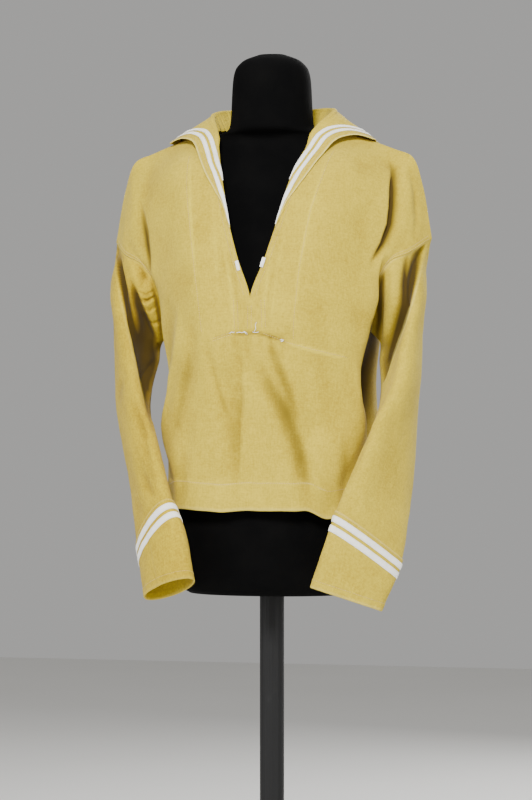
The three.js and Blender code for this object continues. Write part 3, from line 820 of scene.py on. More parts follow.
@dataclass(frozen=True)
class StandPaint:
    """Satin black paint on steel, with fine brush marks and small scuffs."""

    name: str
    base: tuple = (0.0045, 0.0045, 0.0048, 1.0)
    scuff: tuple = (0.012, 0.012, 0.012, 1.0)

    def build(self) -> Material:
        """The finished material."""
        g = Graph(self.name)
        place = g.place()
        grain = g.noise(place, 320.0, 3.0)
        wide = g.noise(place, 24.0, 5.0, 0.65)
        colour = g.blend(wide.above(0.6, 0.78), self.base, self.scuff)
        relief = g.bump(grain, 0.12, 0.0003)
        rough = wide * 0.22 + 0.42
        return g.surface(Base_Color=colour, Roughness=rough, Normal=relief, Specular_IOR_Level=0.3)


@dataclass(frozen=True)
class PaleFloor:
    """Plain pale studio paper with a faint tooth."""

    name: str
    base: tuple = linear(226, 225, 222)
    shade: tuple = linear(219, 218, 214)

    def build(self) -> Material:
        """The finished material."""
        g = Graph(self.name)
        place = g.place()
        wash = g.noise(place, 1.4, 3.0)
        colour = g.blend(wash, self.shade, self.base)
        relief = g.bump(g.noise(place, 400.0), 0.05, 0.0004)
        return g.surface(Base_Color=colour, Roughness=wash * 0.05 + 0.85, Normal=relief)


class Finishes:
    """Every material of the scene but the floor's, made once."""

    def __init__(self) -> None:
        """Builds each material."""
        khaki = (linear(214, 191, 58), linear(164, 138, 26), linear(230, 213, 116))
        # A darker, more saturated copy of the khaki, for the left sleeve and its cuff.
        golden = (linear(210, 184, 40), linear(148, 118, 12), linear(224, 202, 84))
        self.khaki = KhakiCloth("khaki_drill", *khaki).build()
        self.golden = KhakiCloth("golden_khaki_drill", *golden).build()
        self.tape = WhiteTape("white_twill_tape").build()
        self.thread = Thread("khaki_thread", linear(222, 202, 140), linear(186, 160, 92)).build()
        self.white = Thread("white_thread", linear(247, 246, 240), linear(214, 210, 200)).build()
        self.cover = FormCover("black_jersey").build()
        self.paint = StandPaint("black_satin_paint").build()


# The body of the jumper


@dataclass(frozen=True)
class BodyLines:
    """Seams and folds that run up one half of a panel: x from the centre, y, z, hem first."""

    centre: tuple
    second: tuple
    third: tuple
    corner: tuple
    turn: tuple
    side: tuple

    def arrays(self) -> list:
        """The six lines from the centre outwards."""
        names = ("centre", "second", "third", "corner", "turn", "side")
        return [np.array(getattr(self, name), float) for name in names]


SIDE_SEAM = ((148, 4, 760), (144, 4, 800), (130, 3, 870), (120, 2, 940), (138, 0, 1003))
FRONT_LINES = BodyLines(
    centre=(
        (0, -121, 765), (0, -120, 800), (0, -118, 870), (0, -119, 940), (0, -122, 1000),
        (0, -122, 1046), (19, -116, 1100), (37, -103, 1160), (54, -77, 1222), (76, -12, 1277),
    ),
    second=(
        (62, -122, 765), (62, -120, 800), (62, -117, 870), (62, -118, 940), (66, -122, 1000),
        (72, -121, 1050), (82, -113, 1108), (94, -98, 1168), (108, -68, 1226), (122, -4, 1266),
    ),
    third=(
        (107, -101, 757), (108, -98, 798), (138, -68, 870), (134, -64, 940), (146, -64, 1003),
        (159, -60, 1046), (156, -58, 1095), (166, -48, 1150), (170, -36, 1195), (170, 4, 1249),
    ),
    corner=(
        (122, -78, 758), (122, -74, 799), (142, -50, 870), (132, -48, 940), (146, -48, 1002),
        (157, -50, 1046), (162, -54, 1092), (176, -44, 1136), (190, -26, 1182), (194, 3, 1238),
    ),
    turn=(
        (136, -48, 760), (134, -44, 800), (136, -30, 870), (124, -30, 940), (136, -32, 1001),
        (147, -38, 1044), (160, -48, 1086), (182, -42, 1118), (200, -24, 1152), (208, 2, 1200),
    ),
    side=(
        *SIDE_SEAM, (146, -20, 1036), (153, -37, 1068), (172, -44, 1096), (197, -34, 1108), (221, 0, 1128),
    ),
)
BACK_LINES = BodyLines(
    centre=(
        (0, 121, 768), (0, 117, 800), (0, 108, 870), (0, 102, 940), (0, 104, 1003), (0, 107, 1062),
        (0, 103, 1135), (0, 90, 1215), (0, 66, 1283), (54, 42, 1281), (76, -12, 1277),
    ),
    second=(
        (62, 116, 767), (62, 112, 800), (60, 103, 870), (58, 96, 940), (62, 98, 1003),
        (64, 101, 1060), (66, 98, 1130), (66, 86, 1204), (62, 67, 1269), (98, 41, 1268),
        (122, -4, 1266),
    ),
    third=(
        (110, 100, 764), (108, 98, 800), (106, 92, 870), (104, 84, 940), (110, 84, 1003),
        (114, 86, 1056), (116, 88, 1122), (118, 80, 1185), (118, 62, 1240), (146, 38, 1249),
        (170, 4, 1249),
    ),
    corner=(
        (138, 70, 762), (134, 70, 800), (134, 66, 870), (131, 62, 940), (136, 64, 1003),
        (137, 68, 1052), (140, 74, 1108), (150, 72, 1160), (158, 58, 1206), (180, 34, 1220),
        (194, 3, 1238),
    ),
    turn=(
        (149, 38, 760), (145, 36, 800), (139, 36, 870), (133, 34, 940), (142, 34, 1003),
        (148, 46, 1044), (154, 58, 1090), (170, 62, 1128), (186, 52, 1160), (204, 28, 1172),
        (208, 2, 1200),
    ),
    side=(
        *SIDE_SEAM, (149, 22, 1036), (158, 42, 1068), (176, 50, 1094), (196, 42, 1106), (212, 22, 1116),
        (221, 0, 1128),
    ),
)
# The viewer's left differs: index of the line, then its lowest levels.
LEFT_FRONT = {
    2: (
        (105, -101, 767), (106, -98, 801), (136, -68, 870), (127, -64, 940), (134, -64, 990),
        (141, -61, 1046), (152, -57, 1095),
    ),
    3: (
        (119, -78, 764), (119, -74, 801), (138, -50, 870), (127, -48, 940), (137, -48, 996),
        (144, -50, 1046), (158, -53, 1092),
    ),
}
LEFT_BACK = {
    4: (
        (151, 42, 760), (151, 42, 800), (158, 44, 870), (156, 44, 940), (156, 42, 1003),
        (152, 48, 1044),
    ),
    3: (
        (140, 72, 762), (140, 74, 800), (146, 76, 870), (146, 74, 940), (144, 72, 1003),
        (140, 70, 1052),
    ),
}
UNDERARM_LEVEL = 4
V_POINT_LEVEL = 5
BACK_NECK_LEVEL = 8
FRONT_STEPS = (12, 22, 22, 20, 16, 18, 20, 20, 20)
BACK_STEPS = (8, 14, 14, 12, 12, 14, 16, 14, 12, 12)
FRONT_COLUMNS = (26, 22, 14, 12, 14)
BACK_COLUMNS = (18, 14, 10, 10, 12)

# The large folds that the solids have too: face, ends as x and z, width, rise.
LARGE_FOLDS = (
    (Face.FRONT, 50, 985, 82, 872, 17, -7), (Face.FRONT, 82, 872, 100, 775, 18, -6),
    (Face.FRONT, -10, 985, -18, 780, 26, 3), (Face.FRONT, -40, 938, -8, 886, 15, -4),
    (Face.FRONT, -104, 985, -112, 800, 17, 5), (Face.FRONT, 20, 960, 48, 800, 24, 4),
    (Face.BACK, -70, 1040, -84, 790, 22, -6), (Face.BACK, -20, 980, -30, 770, 24, 5),
    (Face.BACK, 42, 1010, 52, 780, 22, -6), (Face.BACK, 92, 960, 98, 780, 20, 4),
)

# The front hem's waves: x, width, rise.
HEM_WAVES = ((77, 11, 3.2), (98, 10, -3.2), (-38, 14, -1.4), (-4, 14, 1.0))

# Drawn in the photograph's pixels.
FRONT_CREASES = (
    Crease(((270, 340), (280, 366), (291, 392), (298, 418)), 7.5, -4.0, 0.0, 4.0),
    Crease(((258, 366), (270, 388), (286, 412), (299, 440), (306, 472), (311, 510)), 12.0, -5.2, 0.0, 6.0),
    Crease(((314, 420), (320, 460), (326, 512)), 7, 2.0),
    Crease(((240, 340), (241, 400), (239, 450), (236, 506)), 14.0, -3.2, 0.0, 1.6),
    Crease(((204, 344), (212, 370), (220, 396), (228, 420)), 4.2, -1.9, 0.2),
    Crease(((224, 441), (217, 458), (211, 474)), 2.4, 1.5),
    Crease(((219, 490), (212, 508)), 2.2, 1.3),
    Crease(((179, 308), (177, 340), (172, 370), (166, 396), (161, 430)), 2.4, 3.4),
    Crease(((192, 322), (187, 370), (179, 412), (168, 448)), 7, -3.2),
    Crease(((168, 300), (169, 340), (168, 372)), 5, -3.0),
    Crease(((200, 410), (196, 440), (192, 478)), 6, 2.0),
    Crease(((184, 450), (182, 476), (181, 502)), 5, -2.0),
    Crease(((346, 440), (347, 464), (343, 500)), 5, -2.6, 0.2),
    Crease(((353, 352), (357, 378), (362, 404)), 4, 2.4),
    Crease(((334, 330), (341, 350), (350, 372)), 7, 1.8),
    Crease(((322, 364), (330, 400), (334, 440)), 9, -1.6),
    Crease(((387, 154), (393, 168), (392, 184), (391, 206), (389, 224), (382, 243), (372, 261)),
           1.4, -9.0, 0.0, 5.5),
    Crease(((411, 172), (416, 196), (417, 220), (414, 236)), 3.2, -2.6, 0.3),
    Crease(((404, 160), (408, 190), (406, 226)), 5, 1.8),
    Crease(((378, 156), (388, 163), (393, 172)), 4, -2.6),
    Crease(((372, 200), (360, 226), (366, 250)), 8, -1.8),
    Crease(((352, 160), (364, 166), (380, 168)), 7, -1.4),
    Crease(((141, 205), (146, 232), (149, 256), (150, 272)), 5.5, -4.5, 0.0, 1.6),
    Crease(((132, 172), (134, 200), (132, 232)), 4, 1.4),
    Crease(((150, 168), (146, 190), (142, 210)), 6, -1.8),
    Crease(((196, 170), (200, 210), (196, 250)), 10, -1.1),
    Crease(((222, 240), (228, 270), (230, 300)), 6, -0.9),
    Crease(((266, 290), (264, 310), (268, 328)), 4, -1.2),
    Crease(((242, 302), (246, 314), (244, 328)), 4, -1.0),
    Crease(((326, 286), (318, 310), (322, 330)), 9, -1.2),
    Crease(((352, 300), (360, 316), (356, 336)), 6, -2.2),
)
BACK_CREASES = (
    Crease(((-118, 1150), (-96, 1090), (-86, 1000), (-92, 900)), 12, -2.6, 0.3),
    Crease(((112, 1160), (98, 1095), (92, 1010), (98, 915)), 13, -2.2, 0.3),
    Crease(((-40, 1040), (-46, 950), (-52, 860)), 14, 1.8),
    Crease(((14, 1040), (18, 960), (10, 870), (14, 800)), 12, -1.8),
    Crease(((52, 1000), (62, 930), (70, 840)), 13, 1.9),
    Crease(((-112, 940), (-118, 880), (-112, 820)), 11, 1.5),
    Crease(((126, 930), (122, 860), (128, 800)), 10, -1.5),
    Crease(((-150, 1140), (-128, 1110), (-104, 1096)), 9, -1.8),
    Crease(((148, 1130), (130, 1100), (108, 1088)), 9, -1.8),
    Crease(((-76, 870), (-70, 820), (-74, 790)), 9, -1.4),
)


@dataclass
class JumperBody:
    """The front and the back panel, their hems, facing lines and creases.

    Args:
        hem_depth: depth of the turned hem.
        hem_row: how far the hem's stitches lie above its edge.
        hem_wave_top: heights between which the front hem's waves fade out.
        fold_rise: rise of the doubled hem, and of its rolled edge.
        edge_width: how far the rolled edge reaches up.
        pucker: rise of the puckers along the hem's stitches.
        pucker_width: how far the puckers reach on both sides.
        row_width: half width of the pale line along the stitches.
        rub: how far the hem is rubbed pale.
        doubled: thickness that the turned hem adds.
        back_painted_shade: how strong the painted shade in the back's troughs is beside the front's.
        shade: how dark the cloth is beside the side seams.
        shade_width: how far that shade reaches from the seams.
        shade_below: heights between which it starts.
        shade_above: heights between which it ends.
    """

    hem_depth: float = 38.0
    hem_row: float = 36.0
    hem_wave_top: tuple = (770.0, 850.0)
    fold_rise: float = 0.5
    edge_width: float = 2.5
    pucker: float = 0.28
    pucker_width: float = 5.0
    row_width: float = 1.6
    rub: float = 4.0
    doubled: float = 0.9
    back_painted_shade: float = 0.45
    shade: float = 1.0
    shade_width: float = 32.0
    shade_below: tuple = (840.0, 930.0)
    shade_above: tuple = (1010.0, 1050.0)

    def __post_init__(self) -> None:
        """Makes both panels."""
        self.relief: dict = {}
        self.front = self._panel(Face.FRONT)
        self.back = self._panel(Face.BACK)

    def _line(self, index: int, rows: Array, levels: Array) -> Array:
        """One line at many levels; the side line has a corner at the underarm."""
        if index < 5:
            return spline(rows, levels)
        below = spline(rows[: UNDERARM_LEVEL + 1], levels[levels <= UNDERARM_LEVEL])
        above = spline(rows[UNDERARM_LEVEL:], levels[levels > UNDERARM_LEVEL] - UNDERARM_LEVEL)
        return np.concatenate([below, above])

    def _half(self, face: Face, side: Side, levels: Array) -> Array:
        """Half a panel, (levels, columns, 3), the centre first.

        Args:
            face: front or back.
            side: which half.
            levels: places up the panel.

        Returns:
            The half's points, in mm.
        """
        lines = (FRONT_LINES if face is Face.FRONT else BACK_LINES).arrays()
        if side is Side.LEFT:
            for index, rows in (LEFT_FRONT if face is Face.FRONT else LEFT_BACK).items():
                lines[index] = np.concatenate([np.array(rows, float), lines[index][len(rows):]])
        control = np.stack([self._line(i, rows, levels) for i, rows in enumerate(lines)])
        closed = V_POINT_LEVEL if face is Face.FRONT else BACK_NECK_LEVEL
        control[0, :, 0] = np.where(levels <= closed, 0, np.maximum(0.6, control[0, :, 0]))
        columns = FRONT_COLUMNS if face is Face.FRONT else BACK_COLUMNS
        half = spline(control, fine_places(columns)).swapaxes(0, 1)
        half[..., 0] *= side.value
        return half

    def _large_folds(self, face: Face, points: Array) -> Array:
        """The large folds' shift along Y."""
        shift = np.zeros(points.shape[:2])
        for where, x0, z0, x1, z1, width, rise in LARGE_FOLDS:
            if where is not face:
                continue
            start, step = np.array([x0, z0]), np.array([x1 - x0, z1 - z0], float)
            flat = points[..., [0, 2]] - start
            t = np.clip(flat @ step / (step @ step), 0, 1)
            off = np.linalg.norm(flat - t[..., None] * step, axis=-1) / width
            shift += rise * bell(off, 1.0)
        return shift * face.value

    def _hem_wave(self, points: Array) -> Array:
        """The front hem's small waves as a shift along Z, fading out upwards."""
        wave = np.zeros(points.shape[:2])
        for x, width, rise in HEM_WAVES:
            wave += rise * bell(points[..., 0] - x, width)
        return wave * (1 - smooth_step(points[..., 2], *self.hem_wave_top))

    def _panel(self, face: Face) -> ClothGrid:
        """A whole panel, slit above the V or the neck, with its creases.

        Args:
            face: front or back.

        Returns:
            The panel's outer surface.
        """
        front = face is Face.FRONT
        levels = fine_places(FRONT_STEPS if front else BACK_STEPS)
        left = self._half(face, Side.LEFT, levels)[:, ::-1]
        right = self._half(face, Side.RIGHT, levels)
        points = np.concatenate([left, right], 1)
        points[..., 1] += self._large_folds(face, points)
        if front:
            points[..., 2] += self._hem_wave(points)
        closed = V_POINT_LEVEL if front else BACK_NECK_LEVEL
        top = int(np.searchsorted(levels, closed))
        grid = ClothGrid(points, flip=not front, slit=(left.shape[1] - 1, top))
        self.relief[face] = self._relief(face, grid, levels)
        return grid.lifted(self.relief[face])

    def _relief(self, face: Face, grid: ClothGrid, levels: Array) -> Array:
        """Creases, light crumpling and the hem's fold, in mm along the normals.

        Args:
            face: front or back.
            grid: the panel before its creases.
            levels: places up the panel.

        Returns:
            The rise at each point.
        """
        front = face is Face.FRONT
        chart = grid.points[..., [0, 2]]
        height = levels[:, None]
        total = levels[-1]
        if front:
            rise = VIEW.relief(grid, FRONT_CREASES) + creased(chart, facing_creases())
        else:
            rise = creased(chart, list(BACK_CREASES))
        x, z = chart[..., 0], chart[..., 1]
        rise += 0.55 * ripple(x, z * 0.6, 46, 3 + face.value) + 0.22 * ripple(x, z, 17, 8 + face.value)
        rise *= 1 - smooth_step(height, total - 0.7, total - 0.1)
        from_hem = run_lengths(grid.points)
        rise += self.fold_rise * (1 - smooth_step(from_hem, self.hem_depth, self.hem_depth + 2))
        rise += self.fold_rise * bell(from_hem, self.edge_width)
        pucker = np.sin(x / 3.4 + 2.2 * np.sin(x / 23))
        return rise + self.pucker * pucker * bell(from_hem - self.hem_depth, self.pucker_width)

    def _panel_tone_and_painted_shade(self, face: Face, grid: ClothGrid) -> Array:
        """Paler and darker places on a panel: random mottling, paler near the hem, lines along the facing's
        seams, and painted shade in the troughs, beside the side seams and along the sharpest folds of the
        front.
        """
        chart = grid.points[..., [0, 2]]
        tone_and_painted_shade = 0.05 * ripple(chart[..., 0], chart[..., 1], 90, 21 + face.value)
        # Painted shade in the troughs, weaker on the back, and a little painted highlight on ridges.
        tone_and_painted_shade += painted_fold_shading(self.relief[face]) * (1.0 if face is Face.FRONT else self.back_painted_shade)
        from_hem = run_lengths(grid.points)
        tone_and_painted_shade += 0.10 * (1 - smooth_step(from_hem, 10, self.hem_depth + 18))
        if face is Face.FRONT:
            # Lines along the facing's seams, and painted shade beside the sharpest folds of the front.
            tone_and_painted_shade += creased(chart, list(FRONT_TONES)) + VIEW.relief(grid, FRONT_SHADES)
        # Painted shade beside the side seams under the arms.
        return tone_and_painted_shade - self._underarm_shade(grid)

    def _underarm_shade(self, grid: ClothGrid) -> Array:
        """Dark beside the side seams, where the sleeves keep the light off."""
        from_seam = run_lengths(grid.points.swapaxes(0, 1)).T
        from_seam = np.minimum(from_seam, from_seam[:, -1:] - from_seam)
        height = grid.points[..., 2]
        level = smooth_step(height, *self.shade_below) * (1 - smooth_step(height, *self.shade_above))
        return self.shade * bell(from_seam, self.shade_width) * level

    def _wear(self, grid: ClothGrid) -> Array:
        """Rubbing along the hem and its stitch line."""
        from_hem = run_lengths(grid.points)
        row = bell(from_hem - self.hem_row, self.row_width)
        return 0.5 * bell(from_hem, self.rub) + 0.45 * row

    def _thickness(self, grid: ClothGrid) -> Array:
        """Doubled at the turned hem."""
        from_hem = run_lengths(grid.points)
        return CLOTH + self.doubled * (1 - smooth_step(from_hem, self.hem_depth - 1, self.hem_depth + 1))

    def dress(self, finishes: Finishes) -> dict:
        """Makes the two panels' objects."""
        made = {}
        for face, grid in ((Face.FRONT, self.front), (Face.BACK, self.back)):
            name = face.name.lower()
            wear_and_painted_highlight, tone_and_painted_shade = self._wear(grid), self._panel_tone_and_painted_shade(face, grid)
            obj = shell_object(f"{name}_panel", grid, self._thickness(grid), tone_and_painted_shade, wear_and_painted_highlight)
            made[name] = stage_piece(obj, "khaki_cloth", finishes.khaki, name)
        return made

    def surface(self) -> BVHTree:
        """The outer surface of both panels, for what lies on them."""
        points, faces = [], []
        for grid in (self.front, self.back):
            quads, _ = grid.quads()
            faces.extend((quads + len(points)).tolist())
            points.extend(grid.points.reshape(-1, 3).tolist())
        return BVHTree.FromPolygons(points, faces)


# Painted shade beside the sharpest folds, drawn in the photograph's pixels.
FRONT_SHADES = (
    Crease(((391, 178), (390, 206), (388, 224), (381, 243), (373, 258)), 1.3, -0.8, 0.0, 2.0),
    Crease(((143, 214), (147, 236), (150, 258), (151, 274)), 2.0, -0.5, 0.0, 1.3),
    Crease(((230, 336), (258, 333), (276, 338), (292, 344)), 1.2, -0.35),
    Crease(((212, 366), (220, 392), (227, 416)), 1.6, -0.12),
)
FRONT_TONES = (
    Crease(((-47, 995), (-23, 999), (0, 1000), (18, 997), (49, 985)), 5, -0.12),
    Crease(((-96, 1234), (-84, 1138), (-71, 1044)), 1.8, 0.46),
    Crease(((95, 1244), (78, 1162), (66, 1082), (60, 1000)), 1.8, 0.46),
    Crease(((49, 987), (86, 976), (124, 966)), 1.8, 0.95),
    Crease(((-39, 1120), (-26, 1060), (-20, 1003)), 1.8, 0.42),
    Crease(((-31, 1120), (-18, 1060), (-13, 1003)), 1.8, -0.2),
    Crease(((28, 1120), (22, 1060), (18, 1003)), 1.8, 0.42),
    Crease(((48, 1150), (36, 1080), (30, 1010)), 1.8, 0.25),
    Crease(((-58, 1180), (-48, 1110), (-42, 1030)), 1.8, 0.2),
)


def painted_fold_shading(relief: Array) -> Array:
    """Painted shade in troughs and a little painted highlight on ridges."""
    return np.clip(relief / 9, -0.95, 0.0) + np.clip(relief / 30, 0.0, 0.12)


def facing_creases() -> list:
    """Short uneven puckers along the lower seam of the facing, and its raised layer."""
    made = [
        Crease(((-47, 993), (-23, 1000), (0, 1001), (18, 999)), 3.2, -1.3, 0.6),
        Crease(((18, 999), (34, 994), (49, 987)), 3.4, -1.9, 0.7),
        Crease(((49, 987), (86, 977), (122, 968)), 3.0, 0.7),
    ]
    starts = (-50, -41, -33, -27, -18, -11, -3, 6, 13, 20, 27, 35, 42, 49)
    for i, x in enumerate(starts):
        z = 1000 - 0.011 * abs(x - 4) ** 1.75
        length = (17, 31, 22, 40, 19, 27, 36)[i % 7]
        lean = (x - 2) * 0.18
        rise = (-0.9, 0.7, -1.2, 0.8)[i % 4]
        made.append(Crease(((x, z - 2), (x + lean, z - length)), 3.4, rise))
        made.append(Crease(((x + 2, z + 2), (x + 2, z + length * 0.5)), 2.6, -0.6 * rise))
    return made


# Sleeves and cuffs


@dataclass(frozen=True)
class SleeveSpec:
    """One sleeve: centre, half sizes, turn, drop, rise and groove of each station down the arm.

    Args:
        side: which arm.
        stations: x, y, z, half across, half deep, turn, drop, rise, groove.
        cuff_length: length of the cuff at mid height.
        cuff_slant: how much its slanting top edge adds at the front edge.
        creases: drawn by angle in degrees and length from the armhole in mm.
        seen: creases on what faces the camera, drawn in the photograph's pixels.
        shades: painted shade lines in its deepest folds, drawn in the same way.
        painted_highlights: painted highlights along its sharpest folds, drawn in the same way.
    """

    side: Side
    stations: tuple
    cuff_length: float
    cuff_slant: float
    creases: tuple
    seen: tuple
    shades: tuple
    painted_highlights: tuple


# Drawn in the photograph's pixels, on what faces the camera.
RIGHT_SEEN = (
    Crease(((425, 243), (420, 262), (411, 296), (401, 326), (391, 354), (382, 382)), 9.0, -15.0, 0.0, 1.6),
    Crease(((409, 250), (406, 276), (402, 302)), 4.0, -5.0, 0.0, 2.0),
    Crease(((393, 266), (392, 300), (388, 340)), 5.0, 3.2),
    Crease(((383, 268), (382, 300), (380, 340)), 2.0, -4.0),
    Crease(((372, 404), (362, 440), (351, 480)), 5, -2.4),
    Crease(((412, 330), (406, 380), (398, 430)), 8, 2.2),
    Crease(((400, 400), (392, 440), (386, 490)), 8, -1.6),
    Crease(((414, 400), (410, 450), (403, 500)), 5, 1.6),
    Crease(((372, 470), (362, 500), (360, 520)), 6, 1.4),
    Crease(((383, 380), (374, 410), (366, 436)), 3, 2.4),
)
LEFT_SEEN = (
    Crease(((114, 249), (117, 266), (122, 288), (129, 316), (137, 350), (147, 392), (155, 430)),
           1.6, -10.0, 0.0, 7.0),
    Crease(((115, 250), (118, 268), (124, 292), (130, 314)), 2.2, -5.0),
    Crease(((122, 262), (127, 290), (134, 316), (139, 344)), 3.4, 3.6),
    Crease(((133, 284), (140, 302), (148, 320), (157, 340)), 6.0, -12.0, 0.0, 1.2),
    Crease(((145, 322), (150, 356), (155, 392), (158, 424)), 7.5, -14.0),
    Crease(((138, 258), (143, 270), (145, 284)), 4.0, -4.5, 0.3),
    Crease(((128, 256), (133, 270), (139, 288)), 4.0, 3.0),
    Crease(((139, 300), (146, 302), (154, 297)), 1.8, -3.4, 0.4),
    Crease(((145, 309), (150, 311), (156, 306)), 1.8, -2.2, 0.4),
    Crease(((148, 322), (154, 324), (161, 321)), 1.8, -2.0, 0.3),
    Crease(((122, 380), (118, 392), (119, 404)), 3.0, -2.4, 0.3),
    Crease(((132, 400), (142, 430), (150, 462)), 5.0, -2.6, 0.3),
    Crease(((124, 420), (132, 450), (140, 480)), 5.0, 2.2),
    Crease(((148, 440), (156, 468), (162, 494)), 4.0, 2.2),
    Crease(((140, 470), (150, 492), (158, 502)), 4.0, -2.4, 0.3),
    Crease(((126, 330), (130, 366), (134, 398)), 5.0, 2.0),
    Crease(((136, 500), (142, 520), (140, 536)), 4.0, -2.0, 0.3),
)

# Painted shade along the right sleeve's deepest folds, drawn in pixels like the creases above.
RIGHT_SHADES = (
    Crease(((383, 262), (380, 290), (379, 320), (377, 346)), 3.0, -1.0),
    Crease(((420, 256), (414, 280), (406, 308), (397, 336), (388, 362)), 2.6, -0.45, 0.0, 1.5),
    Crease(((392, 262), (408, 254), (424, 245)), 1.0, -0.35),
)
# Painted highlights along the right sleeve's sharpest fold.
RIGHT_PAINTED_HIGHLIGHTS = (
    Crease(((427, 246), (421, 272), (413, 300), (403, 330), (394, 354), (386, 380)), 1.5, 0.55),
)
# Painted shade along the left sleeve's deepest folds.
LEFT_SHADES = (
    Crease(((117, 256), (121, 276), (125, 298), (131, 322), (139, 354), (148, 390)), 1.6, -0.7, 0.0, 2.4),
    Crease(((151, 280), (156, 300), (160, 322), (161, 340)), 2.4, -0.8),
    Crease(((146, 326), (152, 360), (157, 400), (160, 430)), 6.0, -0.5),
    Crease(((139, 291), (146, 294), (154, 289)), 0.9, -0.5),
    Crease(((141, 297), (147, 300), (155, 295)), 0.9, -0.4),
    Crease(((114, 247), (122, 250), (134, 254)), 1.0, -0.4),
)
# Painted highlights along the left sleeve's sharpest fold.
LEFT_PAINTED_HIGHLIGHTS = (
    Crease(((111, 254), (116, 276), (120, 298), (126, 322), (133, 354), (142, 392), (152, 432)), 1.6, 0.5),
)

# Creases on sleeves: (angle, length) points, width, rise, lip.
RIGHT_CREASES = (
    (((30, 4), (62, 40), (86, 110), (96, 180)), 10, -3.0, 0.4),
    (((70, 2), (84, 60), (92, 140)), 8, 2.0, 0.0),
    (((112, 0), (118, 60), (120, 150), (112, 240)), 11, -3.6, 0.4),
    (((50, 60), (58, 150), (60, 240)), 12, -1.6, 0.0),
    (((20, 30), (30, 120), (26, 220)), 13, 1.6, 0.0),
    (((84, 200), (70, 260), (66, 320)), 11, -1.6, 0.3),
    (((100, 250), (88, 300), (80, 350)), 9, 1.3, 0.0),
    (((150, 40), (156, 110), (150, 200)), 10, -2.2, 0.0),
    (((210, 20), (220, 100), (214, 200)), 12, -2.4, 0.3),
    (((250, 10), (262, 80), (256, 180)), 12, 2.0, 0.0),
    (((300, 20), (310, 120), (300, 230)), 13, -2.0, 0.3),
    (((200, 230), (230, 270), (262, 286)), 9, -1.8, 0.3),
    (((190, 270), (222, 306), (250, 318)), 9, 1.4, 0.0),
    (((334, 40), (340, 130), (332, 210)), 12, -1.4, 0.0),
)
LEFT_CREASES = (
    (((24, 3), (44, 50), (58, 130), (66, 210)), 9, -3.4, 0.5),
    (((52, 2), (70, 46), (84, 110)), 8, 2.4, 0.0),
    (((84, 2), (92, 40), (100, 96)), 7, -3.4, 0.5),
    (((104, 4), (112, 40), (116, 84)), 6, 2.0, 0.0),
    (((126, 2), (132, 60), (128, 140)), 9, -2.6, 0.3),
    (((20, 60), (30, 150), (34, 240)), 12, -1.8, 0.0),
    (((64, 160), (56, 230), (54, 300)), 10, 1.8, 0.0),
    (((88, 190), (80, 260), (72, 320)), 9, -1.9, 0.3),
    (((40, 280), (60, 316), (84, 336)), 8, -1.5, 0.3),
    (((150, 40), (156, 120), (150, 200)), 10, -2.0, 0.0),
    (((206, 10), (216, 90), (210, 190)), 12, -2.4, 0.3),
    (((246, 20), (256, 100), (250, 190)), 12, 2.0, 0.0),
    (((296, 10), (306, 110), (296, 230)), 13, -2.2, 0.3),
    (((204, 240), (234, 272), (268, 290)), 9, -1.6, 0.3),
    (((336, 30), (344, 130), (336, 230)), 12, 1.4, 0.0),
)

SLEEVE_SPECS = (
    SleeveSpec(
        Side.RIGHT,
        (
            (181, 4, 1030, 30, 50, -20, 45, 0, 8), (179, 0, 985, 29, 57, -14, 20, 0, 9),
            (181, -12, 935, 27, 60, -6, 5, 0, 6), (177, -35, 880, 23, 60, 10, 0, 4, 3),
            (172, -68, 822, 20, 59, 24, 0, 9, 0), (163, -100, 765, 17, 56, 40, 0, 13, 0),
            (154, -124, 712, 16, 52, 56, 0, 16, 0), (133, -138, 652, 15.5, 46, 68, 0, 15.5, 0),
        ),
        90, 15, RIGHT_CREASES, RIGHT_SEEN, RIGHT_SHADES, RIGHT_PAINTED_HIGHLIGHTS,
    ),
    SleeveSpec(
        Side.LEFT,
        (
            (193, 4, 1030, 33, 50, 0, 45, 0, 8), (192, 0, 985, 31, 56, 10, 20, 0, 9),
            (190, -16, 940, 26, 60, 20, 5, 0, 6), (184, -38, 900, 22, 60, 27, 0, 3, 3),
            (169, -64, 857, 19, 55, 32, 0, 8, 0), (152, -86, 810, 18, 50, 36, 0, 12, 0),
            (138, -106, 768, 18, 47, 42, 0, 14, 0), (122, -122, 724, 18, 47, 52, 0, 15, 0),
            (107, -134, 661, 18, 45, 56, 5, 15.5, 0),
        ),
        91, 21, LEFT_CREASES, LEFT_SEEN, LEFT_SHADES, LEFT_PAINTED_HIGHLIGHTS,
    ),
)


